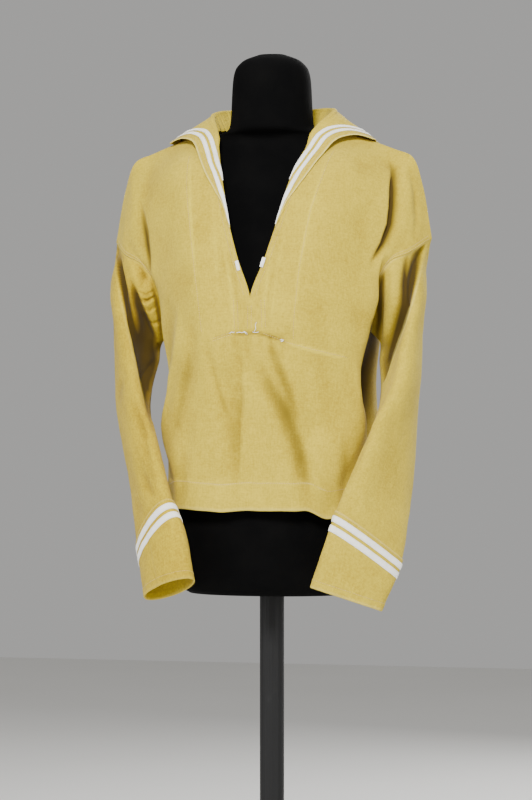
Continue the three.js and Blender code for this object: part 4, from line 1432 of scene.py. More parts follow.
@dataclass
class Sleeve:
    """A sleeve tube with its doubled cuff and the two tapes round it.

    Args:
        spec: the sleeve's own sizes and creases.
        body: the jumper's body, whose armhole the sleeve is sewn to.
        front_angles: angles round the sleeve where the front armhole's levels lie.
        back_angles: the same for the back armhole.
        groove_at: angle of the long trough down the sleeve, in degrees.
        groove_spread: half width of that trough, in degrees.
        dense: steps along each lengthwise curve.
        girth_per_degree: mm round the sleeve for a degree, on the creases' chart.
        columns: columns round the sleeve.
        rows: rows down the sleeve.
        tape_starts: where the cuff's tapes start below its top edge.
        tape_marks: rows across a cuff tape.
        cuff_marks: rows below the tapes.
        cuff_hem: depth of the cuff's hem.
        under_cuff: how far the sleeve runs on under its cuff.
        seam_inset: how far the sleeve's top edge lies inside the armhole.
    """

    spec: SleeveSpec
    body: InitVar[JumperBody]
    front_angles: tuple = (0, 38, 75, 110, 145, 180)
    back_angles: tuple = (180, 205, 236, 266, 296, 328, 360)
    groove_at: float = 130.0
    groove_spread: float = 28.0
    dense: int = 240
    girth_per_degree: float = 0.8
    columns: int = 210
    rows: int = 170
    tape_starts: tuple = (6.5, 19.5)
    tape_marks: int = 6
    cuff_marks: int = 26
    cuff_hem: float = 10.0
    under_cuff: float = 16.0
    seam_inset: float = 0.4

    def __post_init__(self, body: JumperBody) -> None:
        """Finds the armhole, then makes the sleeve's grid and the cuff's.

        Args:
            body: the jumper's body, whose armhole the sleeve is sewn to.
        """
        self.name = self.spec.side.label
        self.angles, ring = self._armhole(body)
        self.curves = self._curves(ring)
        self.sleeve = self._sleeve_grid()
        self.cuff = self._cuff_grid()

    def _armhole(self, body: JumperBody) -> tuple:
        """The angles round the sleeve and the ring of armhole points, tucked under the body.

        Args:
            body: the jumper's body.

        Returns:
            The angles, in degrees, and the ring's points.
        """
        column, inward = (-1, -2) if self.spec.side is Side.RIGHT else (0, 1)
        rings, angles = [], []
        for grid, steps, marks in (
            (body.front, FRONT_STEPS, self.front_angles),
            (body.back, BACK_STEPS, self.back_angles),
        ):
            levels = fine_places(steps)
            start = int(np.searchsorted(levels, UNDERARM_LEVEL))
            tucked = grid.points - grid.normals * (CLOTH + 0.1)
            edge, inside = tucked[start:, column], tucked[start:, inward]
            ring = edge + unit(inside - edge) * self.seam_inset
            place = levels[start:] - UNDERARM_LEVEL
            known = marks[::-1] if marks[0] == 0 else marks
            angles.append(np.interp(place, np.arange(len(known)), known))
            rings.append(ring)
        ring = np.concatenate([rings[0][::-1], rings[1][1:-1]])
        angle = np.concatenate([angles[0][::-1], angles[1][1:-1]])
        wanted = np.linspace(0, 360, self.columns, endpoint=False)
        full = np.concatenate([angle, [360.0]])
        looped = np.concatenate([ring, ring[:1]])
        even = np.stack([np.interp(wanted, full, looped[:, k]) for k in range(3)], 1)
        return wanted, even

    def _curves(self, ring: Array) -> Array:
        """Dense lengthwise curves, (steps, columns, 3), from the armhole to the sleeve end.

        Args:
            ring: the armhole's points.

        Returns:
            The curves' points, in mm.
        """
        a = np.radians(self.angles)
        control = [ring]
        for x, y, z, across, deep, turn, drop, rise, groove in self.spec.stations:
            t = math.radians(turn)
            pull = groove * bell(self.angles - self.groove_at, self.groove_spread)
            out = across * np.cos(a) + pull * 0.8
            fore = deep * np.sin(a) - pull * 0.6
            px = x + out * math.cos(t) - fore * math.sin(t)
            py = y - out * math.sin(t) - fore * math.cos(t)
            pz = z + drop * np.cos(a) + rise * np.sin(a)
            control.append(np.stack([px * self.spec.side.value, py, pz], 1))
        control = np.stack(control)
        return spline(control, np.linspace(0, len(control) - 1, self.dense))

    def _from_end(self, distances: Array) -> Array:
        """One row of points, each at its own distance from the sleeve end."""
        along = run_lengths(self.curves)
        row = []
        for c in range(self.curves.shape[1]):
            place = along[-1, c] - distances[c]
            row.append([np.interp(place, along[:, c], self.curves[:, c, k]) for k in range(3)])
        return np.array(row)

    def _cuff_lengths(self) -> Array:
        """Length from the cuff's slanting top edge to the sleeve end at each column."""
        return self.spec.cuff_length + self.spec.cuff_slant * np.sin(np.radians(self.angles))

    def _sleeve_grid(self) -> ClothGrid:
        """The sleeve down to a little under its cuff, with its creases."""
        along = run_lengths(self.curves)[-1]
        cuff = self._cuff_lengths()
        free = along - cuff + self.under_cuff
        shares = np.linspace(0, 1, self.rows) ** 1.05
        rows = [self._from_end(along - free * share) for share in shares]
        grid = ClothGrid(np.array(rows), closed=True, flip=self.spec.side is Side.RIGHT)
        grid = outward(grid)
        length = run_lengths(grid.points)
        chart = self._chart(length)
        rise = self._creases(chart) * (1 - VIEW.facing(grid))
        past_cuff = length - (free - self.under_cuff)
        fade = smooth_step(length, 0, 8) * (1 - smooth_step(past_cuff, -26, -2))
        lift = (rise + VIEW.relief(grid, self.spec.seen)) * fade
        self.relief = lift.copy()
        lift += 0.25 * ripple(chart[..., 0], chart[..., 1], 22, 31) * fade
        return grid.lifted(lift)

    def _chart(self, length: Array) -> Array:
        """The creases' own chart: mm round the sleeve and mm along it."""
        around = np.broadcast_to(self.angles * self.girth_per_degree, length.shape)
        return np.stack([around, length], 2)

    def _creases(self, chart: Array) -> Array:
        """All the creases, also those that run past the ends of the chart."""
        turn = 360 * self.girth_per_degree
        total = np.zeros(chart.shape[:2])
        for path, width, rise, lip in self.spec.creases:
            drawn = tuple((a * self.girth_per_degree, s) for a, s in path)
            crease = Crease(drawn, width, rise, lip)
            for shift in (-turn, 0, turn):
                moved = (chart + np.array([shift, 0])).reshape(-1, 2)
                total += crease.amount(moved).reshape(chart.shape[:2])
        return total

    def _cuff_grid(self) -> ClothGrid:
        """The cuff, from its slanting top edge to the sleeve end, laid over the sleeve."""
        lengths = self._cuff_lengths()
        first, second = self.tape_starts
        marks = [0, 1.2, 3, first]
        marks += list(np.linspace(first, first + CUFF_TAPE_WIDTH, self.tape_marks)[1:])
        marks += [second - 2, second]
        marks += list(np.linspace(second, second + CUFF_TAPE_WIDTH, self.tape_marks)[1:])
        self.tape_rows = [(marks.index(s), marks.index(s + CUFF_TAPE_WIDTH)) for s in (first, second)]
        rows = [self._from_end(lengths - mark) for mark in marks]
        for share in np.linspace(0, 1, self.cuff_marks)[1:]:
            rows.append(self._from_end((lengths - marks[-1]) * (1 - share)))
        grid = outward(ClothGrid(np.array(rows), closed=True))
        length = run_lengths(grid.points)
        chart = self._chart(length)
        lift = CLOTH + LAY_GAP + 0.3 * ripple(chart[..., 0], chart[..., 1], 30, 41)
        lift = lift + self._cuff_relief(chart, length)
        return grid.lifted(lift)

    def _cuff_relief(self, chart: Array, length: Array) -> Array:
        """Soft bends of the cuff and its turned hem."""
        end = length[-1] - length
        bends = 0.9 * ripple(chart[..., 0], chart[..., 1] * 0.4, 62, 43 + self.spec.side.value)
        hem = 0.35 * (1 - smooth_step(end, self.cuff_hem - 1, self.cuff_hem + 1))
        pucker = 0.2 * np.sin(chart[..., 0] / 2.9) * bell(end - self.cuff_hem, 4)
        return bends * smooth_step(length, 2, 30) + hem + pucker

    def dress(self, finishes: Finishes) -> dict:
        """Makes the sleeve, cuff and tape objects.

        Args:
            finishes: the scene's materials.

        Returns:
            The sleeve, the cuff and a list of the tapes, by name.
        """
        golden = self.spec.side is Side.LEFT
        cloth = finishes.golden if golden else finishes.khaki
        slot = "sleeve_left_cloth" if golden else "khaki_cloth"
        made = {}
        length = run_lengths(self.sleeve.points)
        wear_and_painted_highlight = 0.5 * bell(length, 4)
        tone_and_painted_shade = 0.06 * ripple(length, np.broadcast_to(self.angles, length.shape), 70, 51)
        # Painted shade in the troughs and along the deepest folds, and painted highlights along the sharpest
        # folds.
        tone_and_painted_shade += painted_fold_shading(self.relief) + VIEW.relief(self.sleeve, self.spec.shades)
        wear_and_painted_highlight += np.maximum(VIEW.relief(self.sleeve, self.spec.painted_highlights), 0)
        obj = shell_object(f"sleeve_{self.name}_tube", self.sleeve, CLOTH, tone_and_painted_shade, wear_and_painted_highlight)
        nodes = (f"sleeve_{self.name}", f"sleeve_{self.name}_lower")
        made["sleeve"] = stage_piece(obj, slot, cloth, *nodes)
        length = run_lengths(self.cuff.points)
        end = length[-1] - length
        wear_and_painted_highlight = 0.6 * bell(length, 2) + 0.5 * bell(end, 3)
        thick = CLOTH + 0.9 * (1 - smooth_step(end, self.cuff_hem - 1, self.cuff_hem + 1))
        obj = shell_object(f"cuff_{self.name}_band", self.cuff, thick, -0.02 + 0 * end, wear_and_painted_highlight)
        made["cuff"] = stage_piece(obj, "khaki_cloth", cloth, f"cuff_{self.name}")
        made["tapes"] = []
        for i, (start, stop) in enumerate(self.tape_rows, 1):
            band = self.cuff.part(slice(start, stop + 1))
            tape = tape_object(f"cuff_{self.name}_twill_{i}", band, across_rows=True)
            stage_piece(tape, "white_tape", finishes.tape, f"cuff_tape_{self.name}_{i}")
            made["tapes"].append(tape)
        return made


def outward(grid: ClothGrid) -> ClothGrid:
    """A closed grid wound so that its normals point away from its middle."""
    middle = grid.points.mean(1, keepdims=True)
    inside = ((grid.points - middle) * grid.normals).sum(-1).mean() < 0
    return ClothGrid(grid.points, True, not grid.flip) if inside else grid


def tape_object(name: str, band: ClothGrid, across_rows: bool) -> Object:
    """A woven tape laid on a band of a grid, a little thicker at its middle than its edges.

    Args:
        name: the tape's name.
        band: the cloth under it.
        across_rows: true if its width runs over the rows.

    Returns:
        The new object.
    """
    count = band.shape[0] if across_rows else band.shape[1]
    crown = 0.3 * (1 - np.abs(np.linspace(-1, 1, count)) ** 3)
    thick = crown[:, None] if across_rows else crown[None, :]
    height = LAY_GAP + 0.45 + np.broadcast_to(thick, band.shape)
    points = band.points + band.normals * height[..., None]
    lifted = ClothGrid(points, band.closed, band.flip)
    return shell_object(name, lifted, height - 0.15)


# Collar


@dataclass(frozen=True)
class CollarStation:
    """One row of the collar: outer edge, roll line, neck seam, clearance and turn of the stand."""

    edge: tuple
    roll: tuple
    seam: tuple
    clear: float
    stand: float


COLLAR_STATIONS = tuple(
    CollarStation(row[0:3], row[3:6], row[6:9], row[9], row[10])
    for row in (
        (35, -106, 1142, 31, -109, 1140, 31, -109, 1140, 0.6, 0),
        (47, -99, 1175, 41, -101, 1172, 41, -101, 1172, 0.9, 0),
        (58, -91, 1194, 47, -91, 1193, 47, -91, 1193, 1, 0),
        (70, -82, 1211, 51.5, -83, 1210, 51.5, -83, 1210, 1.4, 0),
        (80, -72, 1229, 54.5, -74, 1227, 55, -74, 1227, 2, 0.05),
        (88, -60, 1244, 58, -60, 1246, 60, -60, 1246, 2.4, 0.2),
        (97, -46, 1258, 63, -44, 1268, 66, -42, 1262, 3, 0.4),
        (107, -33, 1265, 71, -28, 1283, 71, -28, 1271, 3, 0.6),
        (124, -20, 1268, 79, -12, 1294, 75, -16, 1276, 3, 0.8),
        (142, -8, 1263, 84, 4, 1302, 76, -6, 1278, 2.5, 1),
        (142, 14, 1262, 84, 14, 1305, 74, 6, 1279, 2, 1),
        (141, 40, 1246, 81, 27, 1308, 70, 18, 1280, 4, 1),
        (140, 66, 1212, 75, 39, 1310, 65, 29, 1281, 4, 1),
        (140, 78, 1176, 68, 49, 1311, 59, 38, 1282, 4, 1),
        (140, 80, 1134, 61, 56, 1312, 53, 45, 1282, 4, 1),
        (140, 78, 1092, 54, 62, 1312, 47, 50, 1283, 4, 1),
        (140, 76, 1058, 46, 66, 1312, 40, 55, 1283, 4, 1),
        (105, 90, 1058, 36, 70, 1312, 31, 59, 1283, 4, 1),
        (70, 100, 1058, 24, 73, 1312, 21, 62, 1283, 4, 1),
        (35, 106, 1058, 12, 75, 1312, 10.5, 63.5, 1283, 4, 1),
        (0, 107, 1058, 0, 76, 1312, 0, 64, 1283, 4, 1),
    )
)
CORNER_STATION = 16


@dataclass
class SailorCollar:
    """The collar: fall, roll and stand, with its two tapes.

    Args:
        body: the jumper's body that it lies on.
        steps: rows from one station to the next.
        tape_bands: where each tape starts and ends, from the outer edge.
        roll_radius: radius of the roll at the neck.
        stand_gap: how far the stand's foot lies inside the neck seam.
        low_gap: rise of the roll above the seam beside the V.
        narrow_share: share of a narrow fall that lies outside the tapes.
        tip_stations: stations over which the tip by the V opens out.
        fall_columns: columns from the tapes to the roll.
        arc_columns: columns round the roll.
        tape_columns: the columns under each tape.
    """

    body: InitVar[JumperBody]
    steps: int = 9
    tape_bands: tuple = ((10.7, 16.5), (20.7, 26.5))
    roll_radius: float = 3.6
    stand_gap: float = 2.6
    low_gap: float = 0.5
    narrow_share: float = 0.52
    tip_stations: float = 1.6
    fall_columns: int = 34
    arc_columns: int = 14
    tape_columns: tuple = ((5, 9), (11, 15))

    def __post_init__(self, body: JumperBody) -> None:
        """Lays the collar on the body and makes its grid.

        Args:
            body: the jumper's body that it lies on.
        """
        self.tree = body.surface()
        self.neck, self.neck_normals = self._neck_edge(body)
        right = self._half()
        left = right[::-1] * np.array([-1, 1, 1])
        grid = ClothGrid(np.concatenate([right, left[1:]]))
        if (grid.normals[:, 2, :] * np.array([0.3, 0.3, 1])).sum(-1).mean() < 0:
            grid = ClothGrid(grid.points, flip=True)
        self.grid = self._creased(grid)

    def _neck_edge(self, body: JumperBody) -> tuple:
        """The right neck edge's points and normals, from the V point to the middle of the back."""
        front, back = body.front, body.back
        start = int(np.searchsorted(fine_places(FRONT_STEPS), V_POINT_LEVEL))
        end = int(np.searchsorted(fine_places(BACK_STEPS), BACK_NECK_LEVEL))
        f, b = front.slit[0] + 1, back.slit[0] + 1
        points = np.concatenate([front.points[start:, f], back.points[end:-1, b][::-1]])
        normals = np.concatenate([front.normals[start:, f], back.normals[end:-1, b][::-1]])
        return points, normals

    def _nearest_edge(self, point: Array) -> tuple:
        """The nearest place on the neck edge and its normal.

        Args:
            point: in mm.

        Returns:
            The place and the unit normal.
        """
        a, step = self.neck[:-1], np.diff(self.neck, axis=0)
        t = ((point - a) * step).sum(1) / np.maximum((step**2).sum(1), 1e-9)
        t = np.clip(t, 0, 1)[:, None]
        at = a + step * t
        i = int(np.linalg.norm(at - point, axis=1).argmin())
        normal = self.neck_normals[i] * (1 - t[i]) + self.neck_normals[i + 1] * t[i]
        return at[i], unit(normal)

    def _push_out(self, points: Array, clearance: float) -> Array:
        """Points kept at least the clearance outside the body.

        Args:
            points: in mm, (N, 3).
            clearance: in mm.

        Returns:
            The points, moved out where they were too near.
        """
        moved = points.copy()
        for i, point in enumerate(points):
            at, normal, _, _ = self.tree.find_nearest(Vector(point))
            at, normal = np.array(at), np.array(normal)
            if (point - at) @ normal < clearance:
                moved[i] = at + normal * clearance
        return moved

    def _lines(self, places: Array) -> dict:
        """Every station value at fine places; the outer edge has a corner at the back."""
        edge = np.array([s.edge for s in COLLAR_STATIONS], float)
        before = spline(edge[: CORNER_STATION + 1], places[places <= CORNER_STATION])
        after = spline(edge[CORNER_STATION:], places[places > CORNER_STATION] - CORNER_STATION)
        known = np.arange(len(COLLAR_STATIONS))
        return {
            "edge": np.concatenate([before, after]),
            "roll": spline(np.array([s.roll for s in COLLAR_STATIONS], float), places),
            "seam": spline(np.array([s.seam for s in COLLAR_STATIONS], float), places),
            "clear": np.interp(places, known, [s.clear for s in COLLAR_STATIONS]),
            "stand": np.interp(places, known, [s.stand for s in COLLAR_STATIONS]),
        }

    def _inward(self, lines: dict, index: int, normal: Array) -> Array:
        """From the neck edge towards the opening: along the cloth by the V, level at the neck."""
        seams = lines["seam"]
        if index == len(seams) - 1:
            return np.array([0.0, -1.0, 0.0])
        along = seams[min(index + 3, len(seams) - 1)] - seams[max(index - 3, 0)]
        inward = unit(np.cross(normal, along))
        inward[2] *= 1 - lines["stand"][index]
        return unit(inward)

    def _edge_inward(self, edges: Array, toward: Array) -> Array:
        """Across the outer edge into the collar, mitred at the corner.

        Args:
            edges: the outer edge's points.
            toward: from each of them to the roll.

        Returns:
            The directions, longer at the corner so that distances from both edges hold.
        """
        before = unit(edges - np.roll(edges, 1, axis=0))
        before[0] = before[1]
        after = unit(np.roll(edges, -1, axis=0) - edges)
        after[-1] = after[-2]
        made = []
        for line, a, b in zip(toward, before, after):
            one, two = (unit(line - s * (line @ s)) for s in (a, b))
            middle = unit(one + two)
            made.append(middle / max(0.6, middle @ one))
        return np.array(made)

    def _half(self) -> Array:
        """The right half, (rows, columns, 3), from the V round to the middle of the back."""
        places = np.linspace(0, len(COLLAR_STATIONS) - 1, (len(COLLAR_STATIONS) - 1) * self.steps + 1)
        lines = self._lines(places)
        toward = unit(lines["roll"] - lines["edge"])
        inward = self._edge_inward(lines["edge"], toward)[:: self.steps]
        known = np.arange(len(inward))
        inward = np.stack([np.interp(places, known, inward[:, k]) for k in range(3)], 1)
        rows = np.array([self._row(lines, i, inward[i]) for i in range(len(places))])
        tip = np.clip(places / self.tip_stations, 0.02, 1)[:, None, None] ** 0.7
        rolled = rows[:, -12:-11]
        sewn = np.array([at + normal * CLOTH for at, normal in map(self._nearest_edge, lines["seam"])])
        rolled = sewn[:, None] + (rolled - sewn[:, None]) * tip
        rows = rolled + (rows - rolled) * tip
        rows[-1, :, 0] = 0
        return rows

    def _row(self, lines: dict, index: int, inward: Array) -> Array:
        """One row: from the outer edge over the roll to the end of the stand.

        Args:
            lines: the stations' values at fine places.
            index: which place.
            inward: across the edge there.

        Returns:
            The row's points, one for each column.
        """
        stand, clear = lines["stand"][index], lines["clear"][index]
        cloth = clear + CLOTH
        edge = self._push_out(lines["edge"][index][None], cloth)[0]
        seam, normal = self._nearest_edge(lines["seam"][index])
        toward = self._inward(lines, index, normal)
        up = np.array([0.0, 0.0, 1.0])
        top = unit(toward * (1 - stand) + up * stand)
        standing = float(np.clip((stand - 0.2) / 0.2, 0, 1))
        fall = unit(normal * (1 - standing) - toward * standing)
        fall = unit(fall - top * (fall @ top))
        near = (cloth + CLOTH + LAY_GAP) / 2
        radius = near * (1 - standing) + self.roll_radius * standing
        low = seam + normal * (cloth - near) + top * self.low_gap
        high = lines["roll"][index] - top * self.roll_radius
        centre = low * (1 - standing) + high * standing
        start = centre + fall * radius
        tucked = centre - fall * radius - top * max(1.0, 8 - stand * 35)
        at_neck = seam + toward * self.stand_gap + up * 0.5
        end = tucked * (1 - standing) + at_neck * standing
        path, bend = self._fall(edge, start, inward, cloth)
        turn = np.linspace(0, math.pi, self.arc_columns + 2)[1:, None]
        arc = centre + (fall * np.cos(turn) + top * np.sin(turn)) * radius
        whole = np.concatenate([path, arc, [end]])
        slant = 1 + (np.linalg.norm(inward) - 1) * bend
        return self._sampled(whole, len(path), len(arc), slant)

    def _fall(self, edge: Array, start: Array, inward: Array, cloth: float) -> tuple:
        """The fall from the outer edge to the roll: straight where short, level near the edge where long.

        Args:
            edge: the outer edge's point.
            start: where the roll starts.
            inward: across the edge into the collar.
            cloth: clearance of the outer surface above the body.

        Returns:
            The path's points, and how far it is bent, from 0 to 1.
        """
        length = np.linalg.norm(start - edge)
        shares = np.linspace(0, 1, 40)[:, None]
        straight = edge + (start - edge) * shares
        bend = smooth_step(length, 45, 90)
        level = edge + inward * np.minimum(shares * length, 30)
        level = level + (start - level) * smooth_step(shares * length, 28, max(30, length * 0.7))
        path = self._push_out(straight * (1 - bend) + level * bend, cloth)
        path[-1] = start
        return path, bend

    def _sampled(self, whole: Array, fall_count: int, arc_count: int, slant: float) -> Array:
        """The row's points: true distances over the tape bands, then the rest, arc and stand.

        Args:
            whole: the row's dense path, outer edge first.
            fall_count: how many of its points are the fall.
            arc_count: how many come next, round the roll.
            slant: how much longer a distance is, measured slantwise at the corner.

        Returns:
            One point for each column.
        """
        along = run_lengths(whole)
        fallen, turned = along[fall_count - 1], along[fall_count + arc_count - 1]
        (a, b), (c, d) = self.tape_bands
        margin = float(np.clip(self.narrow_share * fallen, 2.0, a))
        outer = np.array([0, 1.2, 3, 5.5, a - 1.5]) * margin / a
        inner = [*np.linspace(a, b, 5), b + 1.7, *np.linspace(c, d, 5), d + 1.5]
        marks = np.concatenate([outer, np.array(inner) + margin - a]) * slant
        rest = np.linspace(min(marks[-1], fallen), fallen, self.fall_columns)[1:]
        round_it = np.linspace(fallen, turned, self.arc_columns)[1:]
        tail = np.linspace(turned, along[-1], 5)[1:]
        cap = fallen + (turned - fallen) * 0.45
        places = np.concatenate([np.minimum(marks, cap), rest, round_it, tail])
        places = np.maximum.accumulate(places) + np.arange(len(places)) * 0.004
        return resample(whole, places * along[-1] / places[-1])

    def _creased(self, grid: ClothGrid) -> ClothGrid:
        """Soft waves of the fall and gathers inside the stand."""
        rows, columns = grid.shape
        along = run_lengths(grid.points[:, 0])[:, None] + np.zeros((1, columns))
        across = run_lengths(grid.points.swapaxes(0, 1)).T
        away = smooth_step(across, 0, 6)
        lift = 0.35 * np.abs(ripple(along, across, 55, 61)) * away
        stand = smooth_step(np.arange(columns), columns - 12, columns - 5)[None, :]
        gathers = np.sin(along / 2.9 + 1.9 * np.sin(along / 17)) * stand * 0.9
        return grid.lifted(lift + gathers)

    def dress(self, finishes: Finishes) -> dict:
        """Makes the collar and its tapes."""
        across = run_lengths(self.grid.points.swapaxes(0, 1)).T
        wear_and_painted_highlight = bell(across, 2.2) + 0.3 * bell(across - 7, 1.5)
        tone_and_painted_shade = 0.05 * ripple(across, run_lengths(self.grid.points), 60, 71)
        obj = shell_object("collar_cloth", self.grid, CLOTH, tone_and_painted_shade, wear_and_painted_highlight)
        made = {"collar": stage_piece(obj, "khaki_cloth", finishes.khaki, "collar"), "tapes": []}
        for i, (start, stop) in enumerate(self.tape_columns, 1):
            tape = tape_object(f"collar_twill_{i}", self._band(start, stop), across_rows=False)
            stage_piece(tape, "white_tape", finishes.tape, f"collar_tape_{i}")
            made["tapes"].append(tape)
        return made

    def _band(self, start: int, stop: int) -> ClothGrid:
        """The rows of one tape where it is wide enough to show."""
        block = self.grid.points[:, start : stop + 1]
        wide = np.linalg.norm(block[:, -1] - block[:, 0], axis=1)
        shown = np.flatnonzero(wide > 0.4)
        return self.grid.part(slice(shown[0], shown[-1] + 1), slice(start, stop + 1))


# The dress form and its stand


@dataclass
class DressForm:
    """The limbless form: a smooth covered torso with its neck block.

    Args:
        rings: height, half width, depth in front and depth behind of each ring.
        roundness: power of the rings' oval; 2 is an ellipse.
        columns: points round each ring.
        steps: rings made for each one given.
    """

    rings: tuple = (
        (650, 112, 90, 90), (655, 121, 98, 97), (668, 129, 105, 104), (705, 140, 108, 110),
        (760, 141, 106, 108), (810, 135, 104, 104), (870, 120, 98, 96), (940, 110, 96, 90),
        (1003, 126, 100, 92), (1070, 140, 100, 95), (1140, 154, 84, 88), (1190, 161, 70, 80),
        (1215, 160, 56, 70), (1239, 150, 41, 53), (1253.3, 136, 30, 41), (1263.3, 112, 26, 38),
        (1270.3, 84, 30, 40), (1275, 64, 42, 46), (1281, 56, 48, 50), (1346, 53, 48, 50),
        (1362, 49, 44, 45), (1373, 38, 34, 35), (1380, 18, 16, 16),
    )
    roundness: float = 2.25
    columns: int = 96
    steps: int = 5

    def grid(self) -> Array:
        """The form's rings of points, (rings, columns, 3)."""
        known = np.array(self.rings, float)
        places = np.arange(0, (len(known) - 1) * self.steps + 1) / self.steps
        lower = np.clip(places.astype(int), 0, len(known) - 2)
        share = (places - lower)[:, None]
        rings = known[lower] * (1 - share) + known[lower + 1] * share
        kernel = np.array([1, 2, 3, 2, 1]) / 9
        inner = rings.copy()
        for k in range(4):
            inner[2:-2, k] = np.convolve(rings[:, k], kernel, "valid")
        a = np.linspace(0, 2 * math.pi, self.columns, endpoint=False)
        ca, sa = np.cos(a), np.sin(a)
        power = 2 / self.roundness
        z, half, front, back = (inner[:, k, None] for k in range(4))
        x = half * np.sign(ca) * np.abs(ca) ** power
        deep = np.where(sa < 0, front, back)
        y = deep * np.sign(sa) * np.abs(sa) ** power
        return np.stack([x, y, np.broadcast_to(z, x.shape)], 2)

    def dress(self, finishes: Finishes) -> Object:
        """Makes the form's object, and finishes the pole and the base.

        Args:
            finishes: the scene's materials.

        Returns:
            The form's object.
        """
        points = self.grid()
        rings, columns = points.shape[:2]
        flat = points.reshape(-1, 3)
        faces = []
        for r in range(rings - 1):
            for c in range(columns):
                d = (c + 1) % columns
                faces.append((r * columns + c, r * columns + d, (r + 1) * columns + d, (r + 1) * columns + c))
        faces.append(tuple(range(columns))[::-1])
        faces.append(tuple((rings - 1) * columns + c for c in range(columns)))
        obj = new_object("form_torso", flat, faces)
        stage_piece(obj, "form_cover", finishes.cover, "form")
        for name in ("pole", "base"):
            node = frame["nodes"][name]
            node.data.materials.clear()
            node.data.materials.append(finishes.paint)
        return obj


# Stitching


@dataclass
class Stitching:
    """Rows of small raised stitches, collected into one object for each thread.

    Args:
        length: length of a stitch.
        pitch: from one stitch to the next.
        width: half width of a stitch.
        height: height of a stitch.
    """

    length: float = 2.3
    pitch: float = 3.1
    width: float = 0.32
    height: float = 0.3

    def __post_init__(self) -> None:
        """Starts with no stitch."""
        self.points: list = []
        self.faces: list = []

    def row(self, points: Array, normals: Array, scale: float = 1.0) -> None:
        """A row of stitches along a line on the cloth.

        Args:
            points: the line, in mm.
            normals: the cloth's normals along it.
            scale: how much larger than usual the stitches are.
        """
        both = np.concatenate([points, normals], 1)
        along = run_lengths(points)
        pitch = self.pitch * scale
        for start in np.arange(0.4, along[-1] - pitch, pitch):
            wobble = 0.12 * math.sin(start * 1.7)
            ends = start + np.array([0, 0.3, 0.7, 1]) * self.length * scale + wobble
            at = np.stack([np.interp(ends, along, both[:, k]) for k in range(6)], 1)
            self._stitch(at[:, :3], unit(at[:, 3:]), scale)

    def _stitch(self, line: Array, normals: Array, scale: float) -> None:
        """One stitch: a low spindle that dips into the cloth at both ends.

        Args:
            line: four points along it, in mm.
            normals: the cloth's normals at them.
            scale: how much larger than usual it is.
        """
        along = unit(line[-1] - line[0])
        side = unit(np.cross(along, normals[1]))
        first = len(self.points)
        heights = (0.0, self.height, self.height, 0.0)
        for k, (point, normal) in enumerate(zip(line, normals)):
            wide = self.width * scale * (0.4 if k in (0, 3) else 1.0)
            top = point + normal * (0.12 + heights[k] * scale)
            low = point + normal * 0.05
            self.points.extend([top, low + side * wide, low - side * wide])
        for k in range(3):
            a = first + 3 * k
            self.faces.append((a, a + 1, a + 4, a + 3))
            self.faces.append((a, a + 3, a + 5, a + 2))
            self.faces.append((a + 1, a + 2, a + 5, a + 4))
        self.faces.extend([(first, first + 2, first + 1), (first + 9, first + 10, first + 11)])

    def dress(self, name: str, slot: str, material: Material) -> Object:
        """Makes the object of all the stitches."""
        obj = new_object(name, np.array(self.points), self.faces)
        return stage_piece(obj, slot, material)


# Rows of stitches on the front panel, drawn by x and z.
FRONT_STITCH_LINES = (
    ((-101, 1240), (-95, 1190), (-86, 1138), (-71, 1044), (-66, 1000)),
    ((98, 1244), (88, 1200), (78, 1162), (66, 1082), (62, 1040), (58, 990)),
    ((-50, 992), (-36, 997), (-23, 1000.5)),
    ((-50, 989), (-36, 994), (-23, 997.5)),
    ((18, 999), (34, 993), (49, 987), (86, 977), (124, 967)),
    ((-22, 1044), (-20, 1003)),
    ((-17, 1044), (-15, 1003)),
    ((-3, 1036), (-3, 1004)),
    ((2, 1036), (2, 1004)),
    ((15, 1044), (17, 1004)),
    ((20, 1044), (22, 1004)),
)


